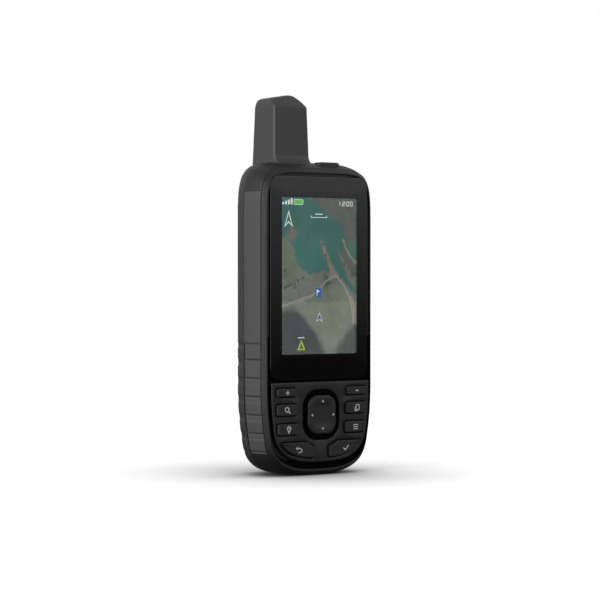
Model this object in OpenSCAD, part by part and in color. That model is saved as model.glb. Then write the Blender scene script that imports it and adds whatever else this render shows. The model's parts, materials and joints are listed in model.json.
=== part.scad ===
// Handheld outdoor satellite navigator: body, antenna stub, map display, keypad, battery door.
// Millimetres. X to the right seen from the front, Y to the back, Z up. Origin at the bottom centre.

/* [Body] */
// Width of the body at its widest
body_w = 62; // [61:0.5:63]
// Height of the body without the antenna
body_h = 134; // [133:0.5:135]
// Depth behind the seam, from the seam to the flat back
rear_d = 17.4; // [17.2:0.1:17.6]
// Thickness of the moulded walls
wall = 2.6; // [2.4:0.1:2.8]
// Thickness of the rubber side grips
grip_t = 1.2; // [1:0.1:1.3]

/* [Antenna] */
// Overall height, to the top of the antenna
antenna_top = 163; // [160:1:168]
// Width of the antenna at its base
antenna_w = 18.9; // [18:0.1:19.4]

/* [Display] */
// Width of the picture area
picture_w = 40; // [38:0.5:41]
// Height of the picture area
picture_h = 66.7; // [64:0.1:68]
// Width of the window glass
glass_w = 51.9; // [51:0.1:52.2]

/* [Keys] */
// Travel of the keys
key_travel = 0.6; // [0.4:0.1:0.6]
// Gap round every key
key_gap = 0.3; // [0.25:0.05:0.4]

/* [Battery] */
// Radius of a battery cell
cell_r = 7.25; // [7:0.05:7.25]
// Length of a battery cell with its nub
cell_l = 50.5; // [49.5:0.1:50.5]

/* [Hidden] */
$fn = 48;
eps = 0.01;

// Depths of the main planes
face_y = -15.1;
shoulder_y = -13.1;
seam_y = -2.4;
back_y = seam_y + rear_d;
half_w = body_w / 2;

// Corners of the front-view outline
low_b = 14;
low_n = 3;
high_b = 30;
taper_z = 38;
taper_k = 0.004;
corner_step = 10;
floor_cut = 0.15;

// One section of the body: [depth, half width, bottom, top, power of the upper corners]
sections = [
    [face_y, half_w - 3.2, 1.5, body_h - 4.7, 6.2],
    [shoulder_y, half_w - 1.7, 0.5, body_h - 3.3, 6],
    [-12.6, half_w - 1.5, 0.3, body_h - 2.9, 6],
    [-9, half_w - 0.9, -floor_cut, body_h - 1.2, 5.6],
    [-5.5, half_w - 0.4, -floor_cut, body_h - 0.2, 5.2],
    [seam_y, half_w - 0.05, -floor_cut, body_h, 4.9],
    [0.5, half_w, -floor_cut, body_h, 4.8],
    [3, half_w - 0.9, -floor_cut, body_h, 4.8],
    [5.7, half_w - 2.8, 0.4, body_h, 4.8],
    [10, half_w - 6, 2, body_h - 0.6, 4.6],
    [13, half_w - 8.5, 4.2, body_h - 2.4, 4.4],
    [back_y - 0.4, half_w - 11, 6, body_h - 4.4, 4.2],
    [back_y, half_w - 12.1, 7, body_h - 5.4, 4.2]];
front_first = 0;
grip_first = 2;
grip_z0 = 9.5;
grip_z1 = 121;
seam_index = 5;
last_index = len(sections) - 1;

// Face of the front: recess, glass and keypad deck
recess_y = -14.3;
recess_hw = 27.4;
recess_z0 = 2.8;
recess_z1 = 128.8;
ledge_y = -13.6;
cavity_y = -12;
glass_t = 1.2;
glass_z0 = 40.7;
glass_z1 = 127.5;
glass_r = 4.5;
picture_z = 85.1;
panel_y = -13.7;
panel_t = 2;
flex_hw = 6;
deck_y = -16.1;
deck_z0 = 5.6;
deck_z1 = 39.9;
deck_hw = 26;
opening_hw = 24.5;
opening_z0 = 6.9;
opening_z1 = 38.6;
opening_r = 8;
opening_step = 26;

// Keys: [x of the centre, z of the centre, width, height]
key_top = -17.3;
flange_y = -14.2;
flange_t = 0.8;
flange_lip = 0.45;
post_y = -10.9;
mat_y = cavity_y;
mat_t = 0.6;
mat_hw = 26.2;
mat_z0 = 4.6;
mat_z1 = 40;
dome_y = -10.2;
board_y = -9.6;
board_t = 1.2;
board_hw = 26;
board_z0 = 7.9;
board_z1 = 126;
zoom_key = [18.6, 35.7, 10.2, 3.5];
upper_key = [18.35, 28.3, 10.6, 4.8];
lower_key = [17.9, 20.1, 10.6, 4.8];
end_key_x = 3.8;
end_key_z0 = 7.6;
end_key_z1 = 14.5;
end_key_hw = 25;
end_key_n = 4;
end_post = [12.3, 11.2];
key_centres = [for (x = [-1, 1], k = [zoom_key, upper_key, lower_key, end_post]) [x * k[0], k[1]]];
rocker_z = 25.8;
rocker_clear_r = 14;
rocker_w = 14.8;
rocker_h = 16.8;
rocker_r = 5;
rocker_top = -17.5;
rocker_back = -12.7;
rocker_lug_z = 3.6;
rocker_foot_x = 5.9;
rocker_foot_z = 6.4;
rocker_axis_y = -11.2;
pivot_r = 0.6;
pivot_arm = 4.6;
cradle_x = 3.7;
running = 0.05;

// Power button on the shoulder beside the antenna
power_x = 10;
power_y = -6.8;
power_w = 12;
power_d = 6.2;
power_z0 = 127.8;
power_post = 0.8;
power_top = 134;
switch_gap = 0.7;

// Antenna stub
antenna_x = -7.35;
antenna_front = -5.7;
antenna_depth = 18.6;
antenna_seat = 129.6;
antenna_plate = 2;
antenna_wall = 1.5;
// Crown of the stub: [depth below the top, draw on the left, right, front, back]
crown = [[5.5, 0, 0, 0, 0], [3.5, 0.08, 0.7, 1.95, 0.8], [2.1, 0.5, 1.7, 3.3, 2.4],
    [1.2, 3.5, 2.6, 4.2, 3.6], [0.4, 8.6, 3.5, 5, 5.4], [0, 10.8, 4.4, 6, 6.6]];
core_r = 6;
core_y = 2.6;
lead_r = 0.7;
lead_path = [[antenna_x, core_y, 132.2], [antenna_x, core_y, 130], [antenna_x, core_y, 127],
    [-7.6, 2.2, 124], [-8.4, 1.2, 121], [-9.6, 0, 118], [-11, -1.4, 115], [-12, -2.6, 112],
    [-12.4, -3.8, 109.6], [-12.4, -4.6, 107.8], [-12.4, -5.1, 106]];

// Battery bay and its door
bay_hw = 15;
bay_y = -1.3;
bay_z0 = 17.5;
bay_wall = 1.5;
door_y = back_y - 1.4;
door_hw = 16.3;
door_z0 = 15.2;
door_z1 = 89.8;
door_r = 5;
door_gap = 0.2;
cell_x = 7.4;
cell_y = 6.2;
contact_t = 0.4;
spring_l = 4.9;
bay_z1 = bay_z0 + 2 * contact_t + spring_l + cell_l;
stud_z = 82;
stud_r = 2.5;
ear_l = 9.8;
ear_w = 3;
ear_y = 8.6;
ear_t = 1.6;
lip_y = 10.6;
stud_pocket_r = 5.8;
head_r = 5.6;
ring_y = 16.3;
ring_wire_r = 0.8;
ring_hw = 7.6;
ring_leg = 14;

// Rubber strips let into the rounded rear edges
strip_x = 26.1;
strip_y = 7.25;
strip_turn = 53.3;
strip_w = 4.6;
strip_t = 1.6;
strip_z0 = 87.4;
strip_z1 = 115.8;

// Ports on the back, under hinged caps
port_board_y = 3.4;
port_floor_y = back_y - 1.8;
cap_back = back_y - 0.05;
cap_front = back_y - 1.6;
cap_hinge_x = 15.6;
cap_hinge_y = back_y - 0.8;
cap_barrel_r = 0.75;
cap_inner_x = 8;
usb_x = 12;
usb_z = 108;
usb_hw = 1.6;
usb_hh = 3.4;
usb_shell = 0.5;
usb_mouth = 12.6;
usb_cap_h = 14;
jack_x = -11.6;
jack_z = 109;
jack_cap_h = 10;
jack_r = 2.8;
jack_bore_r = 1.8;
jack_mouth = 12;
spine_hw = 6;
spine_z0 = 94;
spine_z1 = 124;

// Housing screws: [x, z, depth of the head's seat]
seat_y = 2.4;
screws = [[25, 119, seat_y], [-25, 119, seat_y], [25, 46, seat_y], [-25, 46, seat_y],
    [11, 4.7, seat_y], [-11, 4.7, seat_y]];
screw_notch = 4.6;
screw_r = 1;
screw_head_r = 1.9;
screw_head_t = 1.5;
screw_tip = -8;

// ---------- Shapes used by several pieces ----------

// How far the sides draw in towards the bottom, a parabola below taper_z
function side_in(z) = z < taper_z ? taper_k * pow(taper_z - z, 2) : 0;

// A point of a superellipse of power n at the angle t
function bend(t, n) = [pow(cos(t), 2 / n), pow(sin(t), 2 / n)];

// Right half of the front-view outline, from the bottom centre up to the top centre
function half_outline(hw, z0, z1, n) = concat(
    [for (t = [90:-corner_step:0])
        let (c = bend(t, low_n), z = z0 + low_b * (1 - c[1])) [c[0] * (hw - side_in(z)), z]],
    [for (k = [1:4]) let (z = z0 + low_b + (taper_z - z0 - low_b) * k / 4) [hw - side_in(z), z]],
    [for (t = [0:corner_step:90]) let (c = bend(t, n)) [c[0] * hw, z1 - high_b * (1 - c[1])]]);

function outline(hw, z0, z1, n) =
    let (h = half_outline(hw, z0, z1, n), m = len(h))
    concat(h, [for (i = [m - 2:-1:1]) [-h[i][0], h[i][1]]]);

// A body section moved in by d, as points in space
function section_ring(s, d) =
    [for (p = outline(s[1] - d, s[2] + d, s[3] - d, s[4])) [p[0], s[0], p[1]]];

// A section between two neighbours of the table, at depth y
function section_between(a, b, y) = let (f = (y - a[0]) / (b[0] - a[0])) a + (b - a) * f;

// Closed skin over a list of rings of points, each ring anticlockwise seen from the first ring's side
module skin(rings) {
    n = len(rings[0]);
    top = (len(rings) - 1) * n;
    polyhedron(
        points = [for (r = rings) each r],
        faces = concat(
            [[for (i = [n - 1:-1:0]) i]],
            [[for (i = [0:n - 1]) top + i]],
            [for (j = [0:len(rings) - 2]) for (i = [0:n - 1])
                let (a = j * n + i, b = j * n + (i + 1) % n)
                each [[a, b, b + n], [a, b + n, a + n]]]));
}

// The body from one section of the table to another, moved in by d
module body_skin(first, last, d) {
    skin([for (i = [first:last]) section_ring(sections[i], d)]);
}

// Extrudes a front-view outline from depth y0 back to depth y1
module slab(y0, y1) {
    translate([0, y1, 0]) rotate([90, 0, 0]) linear_extrude(y1 - y0) children();
}

// Cylinder along Y
module rod_y(x, z, r, y0, y1) {
    translate([x, y0, z]) rotate([-90, 0, 0]) cylinder(r = r, h = y1 - y0);
}

// Box from one corner to the other
module block(low, high) {
    translate(low) cube(high - low);
}

// Rectangle with round corners
module soft_rect(w, h, r) {
    square([w - 2 * r, h], center = true);
    square([w, h - 2 * r], center = true);
    for (x = [-1, 1], z = [-1, 1]) translate([x * (w / 2 - r), z * (h / 2 - r)]) circle(r);
}

// Round bar swept along points, with n sides
module swept_bar(path, r, n) {
    skin([for (i = [0:len(path) - 1])
        let (a = path[max(i - 1, 0)], b = path[min(i + 1, len(path) - 1)],
            t = (b - a) / norm(b - a),
            u = cross(abs(t[2]) < 0.9 ? [0, 0, 1] : [1, 0, 0], t),
            v = u / norm(u), w = cross(t, v))
        [for (k = [0:n - 1]) path[i] + r * (cos(-360 * k / n) * v + sin(-360 * k / n) * w)]]);
}

// ---------- Housings ----------

// Opening behind the keys: round lower corners, nearly square upper ones
module front_opening() {
    translate([0, (opening_z0 + opening_z1) / 2])
        soft_rect(2 * opening_hw, opening_z1 - opening_z0, opening_r);
    translate([0, (opening_step + opening_z1) / 2])
        soft_rect(2 * opening_hw, opening_z1 - opening_step, 1);
}

module glass_outline(grow) {
    translate([0, (glass_z0 + glass_z1) / 2])
        soft_rect(glass_w + 2 * grow, glass_z1 - glass_z0 + 2 * grow, glass_r + grow);
}

module antenna_pocket(grow) {
    skin([for (z = [antenna_seat, antenna_seat + 10]) antenna_ring(z, -grow)]);
}

module power_shape(grow) {
    hull() for (x = [-1, 1]) translate([x * (power_w - power_d) / 2, 0]) circle(power_d / 2 + grow);
}

// Square posts round the housing screws
module screw_posts(half, y0, y1) {
    for (s = screws) block([s[0] - half, y0, s[1] - half], [s[0] + half, y1, s[1] + half]);
}

// Space outside the seat of one side grip, down to the moved-in sections
module grip_space(side) {
    difference() {
        block([side > 0 ? 20 : -40, sections[grip_first][0], grip_z0], [side > 0 ? 40 : -20, 0, grip_z1]);
        skin(concat(
            [section_ring(sections[grip_first] - [1, 0, 0, 0, 0], grip_t)],
            [for (i = [grip_first:seam_index]) section_ring(sections[i], grip_t)],
            [section_ring(sections[seam_index] + [4, 0, 0, 0, 0], grip_t)]));
    }
}

module front_housing() {
    color([0.16, 0.16, 0.17])
    difference() {
        body_skin(front_first, seam_index, 0);
        difference() {
            skin([section_ring(section_between(sections[2], sections[3], cavity_y), wall),
                section_ring(sections[3], wall),
                section_ring(sections[4], wall),
                section_ring(sections[seam_index] + [1, 0, 0, 0, 0], wall)]);
            screw_posts(2, cavity_y - 1, 1);
        }
        slab(face_y - 3, recess_y) polygon(outline(recess_hw, recess_z0, recess_z1, 6.2));
        slab(face_y - 3, ledge_y) glass_outline(0.2);
        slab(face_y - 3, cavity_y + 1) translate([0, picture_z])
            square([picture_w + 4.4, picture_h + 7.4], center = true);
        slab(face_y - 3, cavity_y + 1) front_opening();
        for (side = [-1, 1]) grip_space(side);
        antenna_pocket(0.05);
        translate([power_x, power_y, power_z0]) linear_extrude(10) power_shape(0.25);
        for (s = screws) rod_y(s[0], s[1], screw_r, screw_tip, 0);
        block([-50, -50, -5], [50, 50, 0]);
    }
}

module rear_housing() {
    color([0.13, 0.13, 0.14])
    difference() {
        body_skin(seam_index, last_index, 0);
        difference() {
            skin([section_ring(sections[seam_index] - [2, 0, 0, 0, 0], wall),
                section_ring(sections[6], wall),
                section_ring(sections[7], wall),
                section_ring(sections[8], wall),
                section_ring(section_between(sections[9], sections[10], 10.6), wall)]);
            block([-bay_hw - bay_wall, -9, bay_z0 - bay_wall], [bay_hw + bay_wall, 20, door_z1 + 1.6]);
            screw_posts(3.2, -9, 20);
        }
        block([-bay_hw, bay_y, bay_z0], [bay_hw, door_y + 0.4, bay_z1]);
        slab(door_y, 20) door_outline(door_gap);
        slab(door_y - 0.8, door_y + 0.2) seal_outline();
        block([0.5, -9, 21], [12.5, 2, 34]);
        rod_y(0, stud_z, stud_r + 0.3, lip_y - eps, 20);
        block([-ear_w / 2 - 0.3, lip_y - eps, stud_z - ear_l / 2 - 0.3],
            [ear_w / 2 + 0.3, 20, stud_z + ear_l / 2 + 0.3]);
        rod_y(0, stud_z, stud_pocket_r, ear_y - 0.6, lip_y);
        for (s = screws) rod_y(s[0], s[1], screw_r + 0.15, seam_y - 1, 20);
        for (s = screws) rod_y(s[0], s[1], screw_head_r + 0.2, s[2], 20);
        slab(seam_y - 1, seam_y + 0.6) seal_track();
        port_pocket(1, usb_z, usb_cap_h);
        port_pocket(-1, jack_z, jack_cap_h);
        block([usb_x - usb_hw - 0.7, port_board_y, usb_z - usb_hh - 0.7],
            [usb_x + usb_hw + 0.7, 20, usb_z + usb_hh + 0.7]);
        rod_y(jack_x, jack_z, jack_r + 0.1, port_board_y, 20);
        for (side = [-1, 1]) edge_strip(side, 0.02);
        antenna_pocket(0.05);
        block([-50, -50, -5], [50, 50, 0]);
    }
}

module seal_track() {
    difference() {
        polygon(outline(half_w - 1.3, 1.2, body_h - 1.4, 4.9));
        polygon(outline(half_w - 2.1, 2, body_h - 2.2, 4.9));
    }
}

module housing_seal() {
    color([0.75, 0.3, 0.15])
    difference() {
        slab(seam_y, seam_y + 0.6) seal_track();
        antenna_pocket(0.05);
    }
}

module housing_screws() {
    color([0.6, 0.6, 0.62])
    for (s = screws) difference() {
        union() {
            rod_y(s[0], s[1], screw_head_r, s[2], s[2] + screw_head_t);
            rod_y(s[0], s[1], screw_r, screw_tip, s[2] + eps);
        }
        rod_y(s[0], s[1], 0.8, s[2] + 0.6, s[2] + 3);
    }
}

module side_grip(side) {
    color([0.3, 0.3, 0.31])
    difference() {
        intersection() {
            body_skin(front_first, seam_index, 0);
            grip_space(side);
        }
        for (i = [0:5]) translate([side * half_w, -7.6, 10.4 + i * 7.8])
            cube([2.6, 9.4, 0.7], center = true);
    }
}

module side_grip_left() {
    side_grip(-1);
}

module side_grip_right() {
    side_grip(1);
}

// A rubber strip let into the rounded rear edge
module edge_strip(side, grow) {
    translate([side * strip_x, strip_y, (strip_z0 + strip_z1) / 2]) rotate([0, 0, -side * strip_turn])
        cube([strip_w + 2 * grow, strip_t + 2 * grow, strip_z1 - strip_z0 + 2 * grow], center = true);
}

module edge_strips() {
    color([0.05, 0.05, 0.05])
    for (side = [-1, 1]) edge_strip(side, 0);
}

// ---------- Window and display ----------

module window_glass() {
    color([0.03, 0.03, 0.035])
    slab(face_y, face_y + glass_t) glass_outline(0);
}

module window_gasket() {
    color([0.08, 0.08, 0.08])
    slab(face_y + glass_t, ledge_y) difference() {
        glass_outline(-0.2);
        translate([0, picture_z]) square([picture_w + 4.4, picture_h + 7.4], center = true);
    }
}

module display_panel() {
    color([0.3, 0.45, 0.42])
    slab(panel_y, panel_y + panel_t) translate([0, picture_z])
        square([picture_w + 3.6, picture_h + 6.6], center = true);
}

module display_frame() {
    color([0.7, 0.7, 0.72])
    slab(panel_y + panel_t, panel_y + panel_t + 1) difference() {
        translate([0, picture_z]) square([picture_w + 4.4, picture_h + 7], center = true);
        translate([0, picture_z]) square([picture_w - 10, picture_h - 16], center = true);
    }
}

// Ribbon from the foot of the display, folded back to the board
module display_flex() {
    color([0.75, 0.45, 0.12])
    union() {
        block([-flex_hw, -11.4, 44.8], [flex_hw, -11.2, picture_z - (picture_h + 7) / 2]);
        block([-flex_hw, -11.21, 44.8], [flex_hw, board_y, 45]);
    }
}

// ---------- Keypad ----------

// Front view of the end keys, one each side below the rocker
module end_key_outline(grow) {
    offset(delta = grow) intersection() {
        difference() {
            polygon(outline(end_key_hw, end_key_z0, body_h, end_key_n));
            translate([0, rocker_z]) circle(rocker_clear_r);
        }
        translate([end_key_x, end_key_z0]) square([30, end_key_z1 - end_key_z0]);
    }
}

module key_outline(k, grow) {
    translate([k[0], k[1]]) soft_rect(k[2] + 2 * grow, k[3] + 2 * grow, 0.7 + grow);
}

module rocker_outline(grow) {
    translate([0, rocker_z]) soft_rect(rocker_w + 2 * grow, rocker_h + 2 * grow, rocker_r + grow);
}

module all_key_outlines(grow, rocker_grow) {
    for (side = [0, 1]) mirror([side, 0]) {
        key_outline(zoom_key, grow);
        key_outline(upper_key, grow);
        key_outline(lower_key, grow);
        end_key_outline(grow);
    }
    rocker_outline(rocker_grow);
}

module keypad_deck() {
    color([0.14, 0.14, 0.145])
    difference() {
        slab(deck_y, recess_y) difference() {
            polygon(outline(deck_hw, deck_z0, body_h, 6));
            translate([-body_w, deck_z1]) square([2 * body_w, body_h]);
            all_key_outlines(key_gap, 0.6);
        }
        slab(deck_y - 1, deck_y + 0.7) rocker_outline(2.3);
    }
}

module keypad_mat() {
    color([0.25, 0.25, 0.26])
    slab(mat_y, mat_y + mat_t) difference() {
        polygon(outline(mat_hw, mat_z0, body_h, 6));
        translate([-body_w, mat_z1]) square([2 * body_w, body_h]);
        rocker_outline(3.6);
        for (s = screws) translate([s[0], s[1]]) square(screw_notch, center = true);
        for (c = key_centres) translate(c) circle(1.8);
    }
}

// Cap through the deck, a retaining flange behind it and a post over its switch
module key_solid(centre) {
    union() {
        slab(key_top + 0.5, flange_y + eps) children(0);
        slab(key_top, key_top + 0.51) children(1);
        slab(flange_y, flange_y + flange_t) children(2);
        rod_y(centre[0], centre[1], 1.4, flange_y + flange_t - eps, post_y);
    }
}

module plain_key(side, k) {
    color([0.17, 0.17, 0.175])
    mirror([side < 0 ? 1 : 0, 0, 0])
    key_solid([k[0], k[1]]) {
        key_outline(k, 0);
        key_outline(k, -0.3);
        key_outline(k, flange_lip);
    }
}

module end_key(side) {
    color([0.17, 0.17, 0.175])
    mirror([side < 0 ? 1 : 0, 0, 0])
    key_solid(end_post) {
        end_key_outline(0);
        end_key_outline(-0.3);
        end_key_outline(flange_lip);
    }
}

module zoom_in_key() {
    plain_key(-1, zoom_key);
}

module zoom_out_key() {
    plain_key(1, zoom_key);
}

module find_key() {
    plain_key(-1, upper_key);
}

module page_key() {
    plain_key(1, upper_key);
}

module mark_key() {
    plain_key(-1, lower_key);
}

module menu_key() {
    plain_key(1, lower_key);
}

module quit_key() {
    end_key(-1);
}

module enter_key() {
    end_key(1);
}

// Four-way pad: cap, flange behind the deck and two lugs on the upright shaft of the pivot
module rocker_pad() {
    color([0.2, 0.2, 0.205])
    difference() {
        union() {
            slab(rocker_top + 0.8, rocker_back - 0.5) rocker_outline(0);
            slab(rocker_top, rocker_top + 0.81) rocker_outline(-1.2);
            slab(rocker_back - 0.6, rocker_back) rocker_outline(1.4);
            for (z = [-1, 1])
                block([-1.6, rocker_back - eps, rocker_z + z * rocker_lug_z - 0.6],
                    [1.6, -10.3, rocker_z + z * rocker_lug_z + 0.6]);
            for (x = [-1, 1]) rod_y(x * rocker_foot_x, rocker_z, 0.8, rocker_back - eps, -10.75);
            for (z = [-1, 1]) rod_y(0, rocker_z + z * rocker_foot_z, 0.8, rocker_back - eps, -10.8);
        }
        translate([0, rocker_axis_y, rocker_z - 5]) cylinder(r = pivot_r + running, h = 10);
    }
}

// Cross of two shafts: the level one turns in the cradle, the upright one carries the pad
module rocker_pivot() {
    color([0.7, 0.7, 0.72])
    union() {
        translate([0, rocker_axis_y, rocker_z - pivot_arm])
            cylinder(r = pivot_r, h = 2 * pivot_arm);
        translate([-pivot_arm, rocker_axis_y, rocker_z]) rotate([0, 90, 0])
            cylinder(r = pivot_r, h = 2 * pivot_arm);
    }
}

module rocker_cradle() {
    color([0.35, 0.35, 0.36])
    difference() {
        union() {
            for (x = [-1, 1])
                block([x * cradle_x - 0.7, -12.15, rocker_z - 1.5],
                    [x * cradle_x + 0.7, board_y, rocker_z + 1.5]);
            block([-4.4, -9.9, rocker_z - 2.2], [4.4, board_y, rocker_z + 2.2]);
        }
        translate([-6, rocker_axis_y, rocker_z]) rotate([0, 90, 0])
            cylinder(r = pivot_r + running, h = 12);
    }
}

module dome_switches() {
    color([0.78, 0.78, 0.8])
    union() {
        for (c = key_centres) rod_y(c[0], c[1], 1.5, dome_y, board_y);
        for (x = [-1, 1]) rod_y(x * rocker_foot_x, rocker_z, 1, dome_y, board_y);
        for (z = [-1, 1]) rod_y(0, rocker_z + z * rocker_foot_z, 1, dome_y, board_y);
    }
}

// ---------- Electronics ----------

module main_board() {
    color([0.08, 0.3, 0.16])
    slab(board_y, board_y + board_t) difference() {
        polygon(outline(board_hw, board_z0, board_z1, 6));
        for (s = screws) translate([s[0], s[1]]) square(screw_notch, center = true);
    }
}

module shield_cans() {
    color([0.75, 0.75, 0.77])
    union() {
        block([-20, board_y + board_t, 92], [-1, -5.9, 116]);
        block([3, board_y + board_t, 96], [21, -5.9, 118]);
        block([-18, board_y + board_t, 60], [6, -6.2, 84]);
    }
}

module buzzer() {
    color([0.12, 0.12, 0.12])
    rod_y(16, 52, 5.5, board_y + board_t, -5.2);
}

module card_socket() {
    color([0.72, 0.72, 0.74])
    difference() {
        block([0, board_y + board_t, 20], [13, -3.2, 35]);
        block([0.8, -4.9, 19], [12.2, -4, 34]);
    }
}

module memory_card() {
    color([0.05, 0.05, 0.06])
    block([1, -4.85, 19.2], [12, -4.1, 33.8]);
}

module power_button() {
    color([0.2, 0.2, 0.205])
    translate([power_x, power_y, 0]) {
        translate([0, 0, power_z0 + 0.4]) linear_extrude(power_top - power_z0 - 0.8) power_shape(0);
        translate([0, 0, power_top - 0.41]) linear_extrude(0.41) power_shape(-0.5);
        translate([0, 0, power_z0]) linear_extrude(0.8) power_shape(0.5);
        translate([0, 1, power_z0 - power_post]) cylinder(r = 1.4, h = power_post + 0.1);
    }
}

module power_switch() {
    color([0.75, 0.75, 0.77])
    union() {
        block([power_x - 3, board_y + board_t, 121.2], [power_x + 3, -4.4, 125.5]);
        translate([power_x, power_y + 1, 125.4])
            cylinder(r = 1.2, h = power_z0 - power_post - switch_gap - 125.4);
    }
}

// ---------- Antenna ----------

// Quarter arc of points, clockwise seen from above
function quarter(cx, cy, r, from) =
    [for (a = [0:22.5:90]) [cx + r * cos(from - a), cy + r * sin(from - a)]];

// Level section of the stub at height z, moved in by d and by c, the crown's own draw on the
// left, right, front and back: sharp front edges, round back, bowed front
function antenna_ring(z, d, c = [0, 0, 0, 0]) =
    let (up = max(0, z - antenna_seat) / (antenna_top - antenna_seat),
        x0 = antenna_x - antenna_w / 2 + 0.2 * up + d + c[0],
        x1 = antenna_x + antenna_w / 2 - 1.3 * up - d - c[1],
        y0 = antenna_front + 0.5 * up + d + c[2],
        y1 = antenna_front + antenna_depth - 2.2 * up - d - c[3],
        rf = max(0.4, 1.3 - d / 2 - c[2] / 8),
        rb = max(0.6, 2.8 - d - c[3] * 0.4),
        mid = (x0 + x1) / 2)
    [for (p = concat(
        quarter(x0 + rb, y1 - rb, rb, 180),
        quarter(x1 - rb, y1 - rb, rb, 90),
        quarter(x1 - rf, y0 + rf, rf, 0),
        [for (s = [0.5, 0, -0.5]) [mid + s * (x1 - x0 - 2 * rf), y0 - 0.5 * cos(180 * s)]],
        quarter(x0 + rf, y0 + rf, rf, 270)))
        [p[0], p[1], z]];

module antenna_housing() {
    color([0.24, 0.24, 0.245])
    difference() {
        skin(concat([antenna_ring(antenna_seat, 0)],
            [for (c = crown) antenna_ring(antenna_top - c[0], 0, [c[1], c[2], c[3], c[4]])]));
        skin([antenna_ring(antenna_seat + antenna_plate, antenna_wall),
            antenna_ring(antenna_top - 6.6, antenna_wall),
            antenna_ring(antenna_top - 3.8, antenna_wall + 2.6)]);
        translate([antenna_x, core_y, antenna_seat - 1]) cylinder(r = 2, h = 5);
    }
}

module antenna_core() {
    color([0.85, 0.82, 0.72])
    difference() {
        translate([antenna_x, core_y, 133]) cylinder(r = core_r, h = 23);
        translate([antenna_x, core_y, 132]) cylinder(r = 3.6, h = 26);
    }
}

// Four ribbons wound half a turn up the core
module antenna_helix() {
    color([0.72, 0.42, 0.2])
    union() {
        for (k = [0:3]) skin([for (i = [0:16])
            let (a = 90 * k + 180 * i / 16, z = 134 + 20 * i / 16,
                dir = [cos(a), sin(a), 0], c = [antenna_x, core_y, z])
            [c + (core_r + 0.12) * dir - [0, 0, 0.7], c + (core_r - 0.05) * dir - [0, 0, 0.7],
                c + (core_r - 0.05) * dir + [0, 0, 0.7], c + (core_r + 0.12) * dir + [0, 0, 0.7]]]);
    }
}

module antenna_board() {
    color([0.08, 0.3, 0.16])
    difference() {
        translate([antenna_x, core_y, antenna_seat + antenna_plate]) cylinder(r = 6.4, h = 1);
        translate([antenna_x, core_y, antenna_seat]) cylinder(r = 1, h = 6);
    }
}

module antenna_lead() {
    color([0.1, 0.1, 0.1])
    swept_bar(lead_path, lead_r, 10);
}

// ---------- Ports on the back ----------

module port_pocket(side, z, h) {
    block([side > 0 ? cap_inner_x - 0.25 : -16.7, port_floor_y, z - h / 2 - 0.25],
        [side > 0 ? 16.7 : -cap_inner_x + 0.25, 20, z + h / 2 + 0.25]);
}

module port_board() {
    color([0.08, 0.3, 0.16])
    block([-16, port_board_y - 1.2, door_z1 + 1.6], [16, port_board_y, 117]);
}

module usb_socket() {
    color([0.75, 0.75, 0.77])
    difference() {
        block([usb_x - usb_hw - usb_shell, port_board_y, usb_z - usb_hh - usb_shell],
            [usb_x + usb_hw + usb_shell, usb_mouth, usb_z + usb_hh + usb_shell]);
        block([usb_x - usb_hw, 6, usb_z - usb_hh], [usb_x + usb_hw, 13, usb_z + usb_hh]);
    }
}

module antenna_jack() {
    color([0.83, 0.68, 0.35])
    difference() {
        rod_y(jack_x, jack_z, jack_r, port_board_y, jack_mouth);
        rod_y(jack_x, jack_z, jack_bore_r, jack_mouth - 4, jack_mouth + 1);
    }
}

// Rubber cap that swings on a barrel along its outer edge
module port_cap(side, z, h) {
    color([0.1, 0.1, 0.1])
    mirror([side < 0 ? 1 : 0, 0, 0])
    union() {
        block([cap_inner_x, cap_front, z - h / 2], [cap_hinge_x, cap_back, z + h / 2]);
        translate([cap_hinge_x, cap_hinge_y, z - h / 2]) cylinder(r = cap_barrel_r, h = h);
    }
}

module usb_cap() {
    port_cap(1, usb_z, usb_cap_h);
}

module jack_cap() {
    port_cap(-1, jack_z, jack_cap_h);
}

// T rail that a belt clip or a cradle slides on to
module mounting_spine() {
    color([0.12, 0.12, 0.125])
    union() {
        block([-3.5, back_y, spine_z0], [3.5, back_y + 1.3, spine_z1]);
        slab(back_y + 1.29, 17.5) translate([0, (spine_z0 + spine_z1) / 2])
            soft_rect(2 * spine_hw, spine_z1 - spine_z0, 1.5);
    }
}

// ---------- Battery bay and door ----------

module door_outline(grow) {
    translate([0, (door_z0 + door_z1) / 2])
        soft_rect(2 * (door_hw + grow), door_z1 - door_z0 + 2 * grow, door_r + grow);
}

module seal_outline() {
    difference() {
        translate([0, (bay_z0 + bay_z1) / 2])
            square([2 * bay_hw + 2.6, bay_z1 - bay_z0 + 2.6], center = true);
        translate([0, (bay_z0 + bay_z1) / 2])
            square([2 * bay_hw + 0.8, bay_z1 - bay_z0 + 0.8], center = true);
    }
}

module cover_seal() {
    color([0.75, 0.3, 0.15])
    slab(door_y - 0.8, door_y) seal_outline();
}

module battery_cover() {
    color([0.13, 0.13, 0.14])
    difference() {
        union() {
            slab(door_y, back_y) door_outline(0);
            for (i = [0:5]) block([-13, back_y - eps, 18 + 5 * i], [13, back_y + 0.4, 20 + 5 * i]);
        }
        rod_y(0, stud_z, stud_r + running, 10, 20);
    }
}

// Quarter-turn stud: head outside, ears inside behind the lip of the keyhole
module latch_stud() {
    color([0.65, 0.65, 0.67])
    difference() {
        union() {
            rod_y(0, stud_z, head_r, back_y + 0.05, 17.4);
            rod_y(0, stud_z, stud_r, ear_y, back_y + 0.06);
            block([-ear_w / 2, ear_y, stud_z - ear_l / 2], [ear_w / 2, ear_y + ear_t, stud_z + ear_l / 2]);
        }
        translate([-10, ring_y, stud_z]) rotate([0, 90, 0]) cylinder(r = ring_wire_r + running, h = 20);
    }
}

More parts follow.
